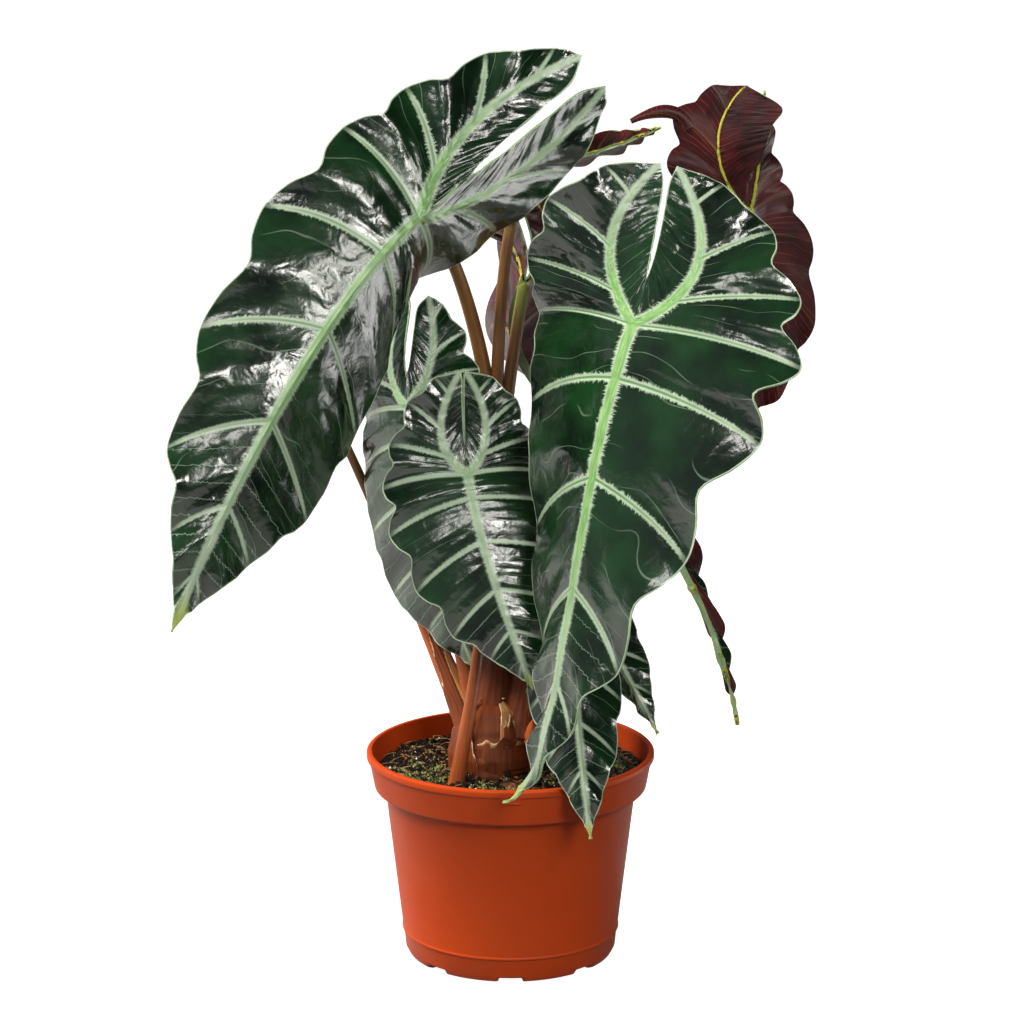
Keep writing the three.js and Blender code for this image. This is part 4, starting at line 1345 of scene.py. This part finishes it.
# The root stock's radius, as a share of its own, at shares of its height. The two ends are left open.
STOCK = ((0.85, 0), (1, 0.12), (1.02, 0.4), (0.86, 0.66), (0.55, 0.88))


@dataclass
class Crown:
    """The swollen root stock, with ring scars, and one orange bud at its side."""

    x: float = -7
    y: float = -3
    radius: float = 17
    bottom: float = 72
    height: float = 40
    bud: Triple = (9, -16, 98)
    bud_radius: float = 3.4
    bud_height: float = 7

    def post(self) -> Post:
        """The stock's axis and radius, for the collars."""
        profile = np.array([*STOCK, (0.1, 1)])
        share = np.linspace(0, 1, 41)
        points = np.stack([0 * share + self.x, 0 * share + self.y, self.bottom + share * self.height], 1)
        return Post(points, np.interp(share, profile[:, 1], profile[:, 0]) * self.radius, self.height)

    def build(self) -> Post:
        """Builds the stock and the bud."""
        profile = np.array([(0, 0), *STOCK, (0, 1)])

        def on_stock(x: Array, y: Array) -> Array:
            """Points of the stock for shares up and round."""
            row = splined(profile, x * (len(profile) - 1))
            angle = 2 * np.pi * y
            scar = 0.02 * np.sin(row[:, 1] * 40 + 1.5 * np.sin(angle)) + 0.05 * np.sin(3 * angle + 4 * row[:, 1])
            r = self.radius * np.maximum(row[:, 0], 0) * (1 + scar)
            points = [self.x + r * np.cos(angle), self.y + r * np.sin(angle), self.bottom + self.height * row[:, 1]]
            return np.stack(points, 1)

        attributes = {"stem": lambda x, y: (x * 0.1, x * self.height, np.abs(y - 0.5) * 2)}
        surfaced("root_crown", (SHEATH,), "crown_and_stalks", (60, 72), on_stock, attributes)
        self.build_bud()
        return self.post()

    def build_bud(self) -> None:
        """Builds the pointed bud with its overlapping scales."""
        middle = np.array(self.bud)

        def on_bud(x: Array, y: Array) -> Array:
            """Points of the bud for shares up and round."""
            angle = 2 * np.pi * y
            wide = np.sin(np.pi * x**0.8) ** 0.75
            scale = 0.09 * ((x * 5 + y * 2) % 1.0)
            r = self.bud_radius * wide * (0.93 + scale)
            up = self.bud_height * (2 * x - 1)
            return middle + np.stack([r * np.cos(angle) + 0.02 * up, r * np.sin(angle), up], 1)

        attributes = {"stem": lambda x, y: (x * 0.8, x * 14, y * 2)}
        surfaced("side_bud", (BUD,), "crown_and_stalks", (40, 40), on_bud, attributes)


# ---- pot and soil -----------------------------------------------------------------------------------


@dataclass
class Pot:
    """A tapered round grower's pot with a wide band, a rolled rim, foot notches and a tag slot pad."""

    height: float = 88
    rim: float = 60
    band_top: float = 58.9
    band_bottom: float = 56.8
    band_z: float = 72.4
    body_top: float = 52.1
    body_z: float = 70
    line: float = 45.3
    line_z: float = 11.3
    foot: float = 40.5
    wall: float = 1.4
    floor_low: float = 2.5
    floor_top: float = 4.2
    pad: float = 12
    segments: int = 240
    notches: int = 8
    notch_height: float = 2.4
    notch_half: float = 7.5
    holes: int = 8
    hole_radius: float = 4
    hole_ring: float = 27
    tag_width: float = 9
    tag_height: float = 4.2
    tag_bottom: float = 82.0
    tag_thickness: float = 0.6
    tag_depth: float = 0.5
    edge_rounding: float = 0.2

    def inner_wall(self, z: float) -> float:
        """Radius of the inner wall at a height on the tapered body."""
        return self.line + (self.body_top - self.line) * (z - self.line_z) / (self.body_z - self.line_z) - self.wall

    def profile(self) -> list[tuple[float, float]]:
        """Half section of the wall, from the middle of the underside round to the middle of the floor."""
        return [
            (0, 0), (self.pad, 0), (self.pad + 1, self.floor_low), (self.foot - 4, self.floor_low),
            (self.foot - 3, 0), (self.foot, 0), (self.foot + 2.4, 0.9), (self.foot + 3.7, 3.4),
            (self.line - 0.4, self.line_z - 0.7), (self.line + 0.3, self.line_z - 0.3),
            (self.line + 0.3, self.line_z + 0.4), (self.line, self.line_z + 0.8),
            (self.body_top, self.body_z), (self.body_top + 0.9, self.body_z + 1.6),
            (self.band_bottom - 0.5, self.band_z), (self.band_bottom, self.band_z + 0.6),
            (self.band_top, self.height - 3.6), (self.rim, self.height - 2.9),
            (self.rim, self.height - 0.7), (self.rim - 0.7, self.height), (self.rim - 2.2, self.height),
            (self.band_top - self.wall, self.height - 1.2), (self.band_bottom - 0.8, self.band_z + 2),
            (self.inner_wall(self.body_z) + 0.2, self.body_z + 0.5), (self.inner_wall(10.2), 10.2),
            (self.inner_wall(self.floor_top) - 2, self.floor_top), (0, self.floor_top),
        ]

    def build(self) -> bpy.types.Object:
        """Spins the wall, raises the notches in the foot and rounds the edges."""
        bm = bmesh.new()
        verts = [bm.verts.new((r * MM, 0, z * MM)) for r, z in self.profile()]
        edges = [bm.edges.new(pair) for pair in zip(verts, verts[1:])]
        bmesh.ops.spin(
            bm,
            geom=verts + edges,
            cent=(0, 0, 0),
            axis=(0, 0, 1),
            angle=2 * math.pi,
            steps=self.segments,
            use_merge=True,
        )
        bmesh.ops.remove_doubles(bm, verts=bm.verts, dist=0.01 * MM)
        self.pierce(bm)
        bmesh.ops.recalc_face_normals(bm, faces=bm.faces)
        apart = 360 / self.notches
        for vert in bm.verts:
            radius = math.hypot(vert.co.x, vert.co.y) / MM
            turn = math.degrees(math.atan2(vert.co.y, vert.co.x)) % apart
            near = min(turn, apart - turn)
            in_foot = self.foot - 3.5 < radius < self.foot + 3 and vert.co.z < 1.5 * MM
            if in_foot and near < self.notch_half - 0.01:
                vert.co.z = self.notch_height * MM
        made = piece(bm, "pot_shell", (PLASTIC,), "pot")
        bevel = made.modifiers.new("moulded_edges", "BEVEL")
        bevel.width = self.edge_rounding * MM
        bevel.segments = 2
        bevel.limit_method = "ANGLE"
        bevel.angle_limit = math.radians(25)
        self.build_tag_pad()
        return made

    @staticmethod
    def lies_at(part: bmesh.types.BMFace | bmesh.types.BMEdge, level: float) -> bool:
        """Tells whether a face or an edge lies level at a height, in metres."""
        return all(abs(vert.co.z - level) < 1e-6 for vert in part.verts)

    def pierce(self, bm: bmesh.types.BMesh) -> None:
        """Opens the drain holes through the floor of the pot.

        Args:
            bm: Mesh of the wall, before its notches are raised.
        """
        ring, radius = self.hole_ring * MM, self.hole_radius * MM
        levels = []
        for level in (self.floor_low * MM, self.floor_top * MM):
            bmesh.ops.delete(bm, geom=[face for face in bm.faces if self.lies_at(face, level)], context="FACES")
            edges = [edge for edge in bm.edges if edge.is_boundary and self.lies_at(edge, level)]
            loops = []
            for i in range(self.holes):
                turn = (i + 0.5) / self.holes * 2 * math.pi
                spot = Matrix.Translation((ring * math.cos(turn), ring * math.sin(turn), level))
                verts = bmesh.ops.create_circle(bm, segments=32, radius=radius, matrix=spot)["verts"]
                loops.append(list({edge for vert in verts for edge in vert.link_edges}))
            bmesh.ops.triangle_fill(bm, use_beauty=True, edges=edges + [edge for loop in loops for edge in loop])
            levels.append(loops)
        for low, high in zip(*levels):
            bmesh.ops.bridge_loops(bm, edges=low + high)

    def build_tag_pad(self) -> None:
        """Builds the small moulded pad on the front of the band, with a raised frame."""

        def on_band(x: Array, y: Array) -> Array:
            """Points of the pad for shares round and up."""
            z = self.tag_bottom + y * self.tag_height
            slope = (self.band_top - self.band_bottom) / (self.height - 3.6 - self.band_z - 0.6)
            edge = np.minimum(np.minimum(x, 1 - x) * self.tag_width, np.minimum(y, 1 - y) * self.tag_height)
            frame = np.where(edge < 0.7, self.tag_thickness, 0.5 * self.tag_thickness)
            r = self.band_bottom + slope * (z - self.band_z - 0.6) + np.where(edge < 0.01, 0.0, frame)
            angle = -np.pi / 2 + (x - 0.5) * self.tag_width / self.band_top
            return np.stack([r * np.cos(angle), r * np.sin(angle), z], 1)

        surfaced("tag_pad", (PLASTIC,), "pot", (60, 36), on_band, thickness=self.tag_depth, offset=-1)


# In millimetres: how far out grains may lie, the radius of a fibre, and where the young stalk comes up.
LITTER_EDGE = 54.0
FIBRE_RADIUS = 0.13
YOUNG_STALK = (-23.5, -23.0)


class Grain(Enum):
    """Kinds of small things that lie on the soil."""

    LUMP = "lump"
    FLAKE = "flake"
    FIBRE = "fibre"
    LEAFLET = "leaflet"


@dataclass(frozen=True)
class Litter:
    """Many small grains of one kind, strewn over the soil in heaps."""

    name: str
    finish: Finish
    kind: Grain
    count: int
    size: tuple[float, float]
    heap: int = 1
    spread: float = 0.0
    seed: int = 1
    middle: tuple[float, float] = (0.0, 0.0)
    reach: float = 53.5

    def strew(self, ground: Callable, free: Callable) -> bpy.types.Object:
        """Strews the grains.

        Args:
            ground: Height of the soil for arrays of x and y, in millimetres.
            free: Tells for arrays of x and y where nothing else stands.

        Returns:
            The new piece.
        """
        pick = np.random.default_rng(self.seed)
        angle = pick.uniform(0, 2 * np.pi, 4 * self.count)
        reach = np.sqrt(pick.uniform(0, 1, 4 * self.count)) * self.reach
        x, y = self.middle[0] + reach * np.cos(angle), self.middle[1] + reach * np.sin(angle)
        chosen = free(x, y)
        x, y = np.repeat(x[chosen][: self.count], self.heap), np.repeat(y[chosen][: self.count], self.heap)
        x, y = x + pick.normal(0, 1, len(x)) * self.spread, y + pick.normal(0, 1, len(y)) * self.spread
        shrink = np.minimum(1, LITTER_EDGE / np.maximum(np.hypot(x, y), 1e-6))
        x, y = x * shrink, y * shrink
        z = ground(x, y)
        bm = bmesh.new()
        for spot in zip(x, y, z):
            self.grain(bm, Vector(spot) * MM, pick)
        return piece(bm, self.name, (self.finish,), "soil")

    def grain(self, bm: bmesh.types.BMesh, spot: Vector, pick: np.random.Generator) -> None:
        """Adds one grain at a spot of the soil.

        Args:
            bm: Mesh that holds all grains.
            spot: Its place, in metres.
            pick: Source of the seeded random numbers.
        """
        size = pick.uniform(*self.size) * MM
        turn = Euler(pick.uniform(0, 2 * math.pi, 3)).to_matrix().to_4x4()
        if self.kind is Grain.LUMP:
            where = Matrix.Translation(spot + Vector((0, 0, 0.25 * size))) @ turn @ Matrix.Diagonal((1, 0.8, 0.65, 1))
            verts = bmesh.ops.create_icosphere(bm, subdivisions=1, radius=size / 2, matrix=where)["verts"]
            for vert in verts:
                vert.co += Vector(pick.normal(0, 0.09, 3)) * size
        elif self.kind is Grain.FLAKE:
            lie = Euler((pick.normal(0, 0.4), pick.normal(0, 0.4), pick.uniform(0, 6.28))).to_matrix().to_4x4()
            shape = Matrix.Diagonal((size, size * 0.35, size * 0.16, 1))
            where = Matrix.Translation(spot + Vector((0, 0, 0.1 * size))) @ lie @ shape
            verts = bmesh.ops.create_cube(bm, size=1.0, matrix=where)["verts"]
            for vert in verts:
                vert.co += Vector(pick.normal(0, 0.07, 3)) * size
        elif self.kind is Grain.FIBRE:
            self.strand(bm, spot, size, FIBRE_RADIUS * MM, pick.uniform(0, 6.28), pick)
        else:
            lean = Vector((pick.normal(0, 0.6), pick.normal(0, 0.6), 1)).normalized() * size
            side = lean.cross(Vector((pick.normal(), pick.normal(), 0.1))).normalized() * size * 0.22
            middle = spot + lean * 0.5 + Vector((pick.normal(), pick.normal(), 0)) * size * 0.1
            keel = middle + side.cross(lean) / size * 0.6
            verts = [bm.verts.new(p) for p in (spot, middle + side, spot + lean, middle - side, keel)]
            for corners in ((0, 1, 4), (1, 2, 4), (2, 3, 4), (3, 0, 4), (0, 3, 2, 1)):
                bm.faces.new([verts[i] for i in corners])

    @staticmethod
    def strand(
        bm: bmesh.types.BMesh, spot: Vector, length: float, radius: float, way: float, pick: np.random.Generator
    ) -> None:
        """Adds a thin bent strand that lies on the soil.

        Args:
            bm: Mesh that holds all strands.
            spot: Its middle, in metres.
            length: Its length, in metres.
            radius: Its radius, in metres.
            way: The way it points, in radians.
            pick: Source of the seeded random numbers.
        """
        bend = pick.normal(0, 1.2)
        rise = pick.uniform(0.05, 0.25) * length
        rings = []
        for i in range(7):
            share = i / 6 - 0.5
            turn = way + bend * share
            at = spot + Vector((math.cos(turn), math.sin(turn), 0)) * share * length
            at.z += rise * (1 - 4 * share**2) * 0.6 + 0.2 * MM
            side = Vector((-math.sin(turn), math.cos(turn), 0))
            corners = (side, Vector((0, 0, 1)) - side * 0.5, -Vector((0, 0, 1)) - side * 0.5)
            rings.append([bm.verts.new(at + corner * radius) for corner in corners])
        for low, high in zip(rings, rings[1:]):
            for k in range(3):
                bm.faces.new((low[k], low[(k + 1) % 3], high[(k + 1) % 3], high[k]))
        bm.faces.new(rings[0][::-1])
        bm.faces.new(rings[-1])


LITTER = (
    Litter("soil_crumbs", EARTH, Grain.LUMP, 1300, (0.8, 3.4), seed=3),
    Litter("soil_moss_heads", MOSS, Grain.LUMP, 60, (0.7, 1.7), 5, 1.3, 5),
    Litter("soil_moss_leaves", MOSS, Grain.LEAFLET, 60, (0.8, 2.0), 9, 1.4, 7),
    Litter("moss_patch_left", MOSS, Grain.LEAFLET, 80, (1.0, 2.4), 8, 1.5, 19, (-35, -14), 14),
    Litter("moss_patch_front", MOSS, Grain.LEAFLET, 50, (1.0, 2.4), 8, 1.3, 23, (-5, -40), 9),
    Litter("moss_patch_right", MOSS, Grain.LEAFLET, 50, (1.0, 2.4), 8, 1.3, 29, (38, 0), 12),
    Litter("soil_perlite", PERLITE, Grain.LUMP, 60, (0.6, 1.5), seed=11),
    Litter("soil_grit", PERLITE, Grain.LUMP, 380, (0.25, 0.75), seed=31),
    Litter("soil_bark", BARK, Grain.FLAKE, 90, (1.6, 4.4), seed=13),
    Litter("bark_heap", BARK, Grain.FLAKE, 34, (2.5, 5.5), 1, 0.0, 37, (4, -31), 6),
    Litter("soil_fibres", FIBRE, Grain.FIBRE, 240, (4.0, 12.0), seed=17),
)


@dataclass
class Soil:
    """Potting soil that fills the pot, with a lumpy top, moss, perlite, bark and fibres."""

    edge_level: float = 79
    middle_level: float = 81
    roughness: float = 0.9
    radius: float = 55.7
    low: float = 4.5
    rings: int = 90
    lower_rings: int = 20
    sectors: int = 260
    crown_clearance: float = 0.8
    stalk_room: float = 5.5
    crown: Crown = field(default_factory=Crown)

    def ground(self, x: Array, y: Array) -> Array:
        """Height of the top, as in the solid, with finer lumps."""
        share = np.minimum(np.hypot(x, y) / self.radius, 1)
        lumps = np.sin(0.31 * x + 1.3) * np.cos(0.27 * y) + 0.6 * np.sin(0.53 * y + 0.41 * x)
        level = self.middle_level + (self.edge_level - self.middle_level) * share**2
        fine = smooth_noise(np.stack([x, y], 1), 5.0, 4, 3.0) * 1.5
        return level + self.roughness * lumps * (1 - share**6) + fine * (1 - 0.5 * share**4)

    def build_bed(self) -> bpy.types.Object:
        """Builds the body of the soil."""
        pot = Pot()
        side = np.array([
            (0, self.low), (pot.inner_wall(self.low) - 2.3, self.low), (pot.inner_wall(10.5) - 0.3, 10.5),
            (pot.inner_wall(pot.body_z) - 0.3, pot.body_z + 0.6), (self.radius, pot.band_z + 2.3),
            (self.radius, self.edge_level),
        ])
        rings, lower = self.rings, self.lower_rings

        def on_soil(x: Array, y: Array) -> Array:
            """Points of the soil for shares from the underside to the top's middle, and round."""
            step = x * (rings + lower)
            under = np.minimum(step / lower, 1) * (len(side) - 1)
            row = blended(under, range(len(side)), side)
            r = np.where(step > lower, self.radius * (1 - (step - lower) / rings), row[:, 0])
            angle = 2 * np.pi * y
            px, py = r * np.cos(angle), r * np.sin(angle)
            top = self.ground(px, py)
            return np.stack([px, py, np.where(step > lower, top, row[:, 1])], 1)

        return surfaced("soil_bed", (EARTH,), "soil", (rings + lower, self.sectors), on_soil)

    def free(self, x: Array, y: Array) -> Array:
        """True where neither the crown nor the young stalk stands."""
        beside_crown = np.hypot(x - self.crown.x, y - self.crown.y) > self.crown.radius + self.crown_clearance
        beside_stalk = np.hypot(x - YOUNG_STALK[0], y - YOUNG_STALK[1]) > self.stalk_room
        return beside_crown & beside_stalk

    def build(self) -> None:
        """Builds the soil and what lies on it."""
        self.build_bed()
        for litter in LITTER:
            litter.strew(self.ground, self.free)


# ---- studio -----------------------------------------------------------------------------------------


@dataclass(frozen=True)
class PaleFloor(Finish):
    """White paper that the plant stands on.

    The sheet glows. The camera sees it near white. Reflections see a dimmer painted glow, brighter towards the
    plant's left, with one bright glowing card at the plant's right, as the leaves and the pot show it.
    """

    name: str = "pale_floor"
    paper: str = "A8A8A6"
    white: str = "F6F5F3"
    seen: float = 1.05
    card: Triple = (0.72, 0.1, 0.0)

    def surface(self, tree: Tree) -> dict[str, float | Socket]:
        """Builds the patterns, and gives the inputs of the surface shader."""
        place = add(tree, "TexCoord", out="Object")
        side = add(tree, "SeparateXYZ", (place,))
        # painted glow that only reflections see: the floor emits light, brighter towards the plant's left
        bounce = add(tree, "MapRange", (side, -0.35, 0.25, 0.65, 0.0))
        ray = add(tree, "LightPath", out="Is Camera Ray")
        # painted glowing card on the floor at the plant's right, a light seen only in reflections
        away = add(tree, "VectorMath", (place, self.card), "Value", operation="DISTANCE")
        card = add(tree, "MapRange", (away, 0.3, 0.46, 6.5, 0.0))
        mirrored = add(tree, "Math", (bounce, card), operation="ADD")
        glow = add(tree, "Mix", {0: ray, 2: mirrored, 3: self.seen})
        return {
            "Base Color": linear(self.paper),
            "Roughness": 0.8,
            "Emission Color": linear(self.white),
            "Emission Strength": glow,
        }


@dataclass(frozen=True)
class Lamp:
    """One soft box that looks at the plant.

    Its place is a distance in metres, the degrees to the right of the camera's side and the degrees above
    the level. Its size is in metres and its power in watts. A lamp that isn't mirrored lights the plant,
    and glossy skins don't show it.
    """

    name: str
    away: float
    turn: float
    rise: float
    size: tuple[float, float]
    power: float
    tint: str = "FFFDF6"
    mirrored: bool = True

    def build(self, aim: Vector) -> None:
        """Adds the lamp, turned to a point in metres."""
        data = bpy.data.lights.new(self.name, "AREA")
        data.shape = "RECTANGLE"
        data.size, data.size_y = self.size
        data.energy = self.power
        data.color = linear(self.tint)[:3]
        made = bpy.data.objects.new(self.name, data)
        turn, rise = math.radians(self.turn), math.radians(self.rise)
        level = math.cos(rise)
        way = Vector((level * math.sin(turn), -level * math.cos(turn), math.sin(rise)))
        made.location = aim + way * self.away
        made.rotation_euler = (-way).to_track_quat("-Z", "Y").to_euler()
        made.visible_glossy = self.mirrored
        bpy.context.scene.collection.objects.link(made)


LAMPS = (
    Lamp("key_left", 1.7, -92, 45, (0.9, 0.9), 62.0, "FFF8F0", mirrored=False),
    Lamp("fill_front", 1.6, -18, 30, (1.0, 0.8), 2.5, mirrored=False),
    Lamp("window_left", 1.3, -112, 6, (1.5, 0.9), 1.9),
    Lamp("box_left", 1.5, -15, 33, (0.32, 0.32), 4.5),
    Lamp("box_middle", 1.5, 20, 26, (0.34, 0.3), 9.0),
    Lamp("box_right", 1.5, 34, 38, (0.26, 0.28), 4.0),
)


@dataclass
class Studio:
    """Pale floor, soft light and the camera at the photograph's angle."""

    distance: float = 1.35
    elevation: float = 12.8
    aim: Triple = (0.0, 0.0, 0.189)
    focal_px: float = 3287.0
    frame_px: float = 1024.0
    centre_px: float = 510.4
    sensor: float = 36.0
    floor_radius: float = 14.0
    floor_gap: float = 0.4

    def camera(self) -> None:
        """Places the camera."""
        made = bpy.data.objects.new("camera", bpy.data.cameras.new("camera"))
        bpy.context.scene.collection.objects.link(made)
        made.data.sensor_width = self.sensor
        made.data.lens = self.focal_px / self.frame_px * self.sensor
        made.data.shift_x = (self.frame_px / 2 - self.centre_px) / self.frame_px
        tilt = math.radians(self.elevation)
        back = Vector((0, -math.cos(tilt), math.sin(tilt)))
        made.location = Vector(self.aim) + back * self.distance
        made.rotation_euler = (-back).to_track_quat("-Z", "Y").to_euler()
        bpy.context.scene.camera = made

    def floor(self) -> None:
        """Adds the pale floor just under the pot. It gives no light to matt surfaces."""
        bm = bmesh.new()
        bmesh.ops.create_circle(bm, cap_ends=True, segments=96, radius=self.floor_radius)
        mesh = bpy.data.meshes.new("floor")
        bm.to_mesh(mesh)
        bm.free()
        made = bpy.data.objects.new("floor", mesh)
        made.location.z = -self.floor_gap * MM
        bpy.context.scene.collection.objects.link(made)
        mesh.materials.append(PaleFloor().material())
        made.visible_diffuse = False

    def world(self) -> None:
        """Lights the room: near white where the camera sees it, dimmer in reflections."""
        world = bpy.data.worlds.new("room")
        bpy.context.scene.world = world
        world.use_nodes = True
        tree = world.node_tree
        tree.nodes.clear()
        seen = add(tree, "Background", {"Color": linear("FFFFFF"), "Strength": 1.0})
        way = add(tree, "SeparateXYZ", (add(tree, "TexCoord", out="Generated"),))
        fall = add(tree, "MapRange", (way, -0.8, 0.6, 0.3, 0.03))
        lit = add(tree, "Background", {"Color": linear("F0F4F8"), "Strength": fall})
        ray = add(tree, "LightPath", out="Is Camera Ray")
        both = add(tree, "MixShader", (ray, lit, seen))
        add(tree, "OutputWorld", {"Surface": both})

    def build(self) -> None:
        """Builds the studio."""
        self.camera()
        self.floor()
        self.world()
        for lamp in LAMPS:
            lamp.build(Vector(self.aim))
        bpy.context.scene.view_settings.view_transform = "Standard"


def main() -> None:
    """Builds the plant and the studio, in order."""
    logging.basicConfig(level=logging.INFO, format="%(name)s: %(message)s")
    Studio().build()
    Pot().build()
    Soil().build()
    posts = {"root_crown": Crown().build()}
    for leaf in LEAVES:
        leaf.build()
        stalk = STALKS[leaf.name]
        posts[stalk.name] = stalk.build(leaf.joint())
    LEAVES[0].web(Half.RIGHT, 5.5, 0.42)
    ROLLED_LOBE.build()
    for sheath in SHEATHS:
        sheath.build(posts[sheath.wraps])


if __name__ == "__main__":
    main()
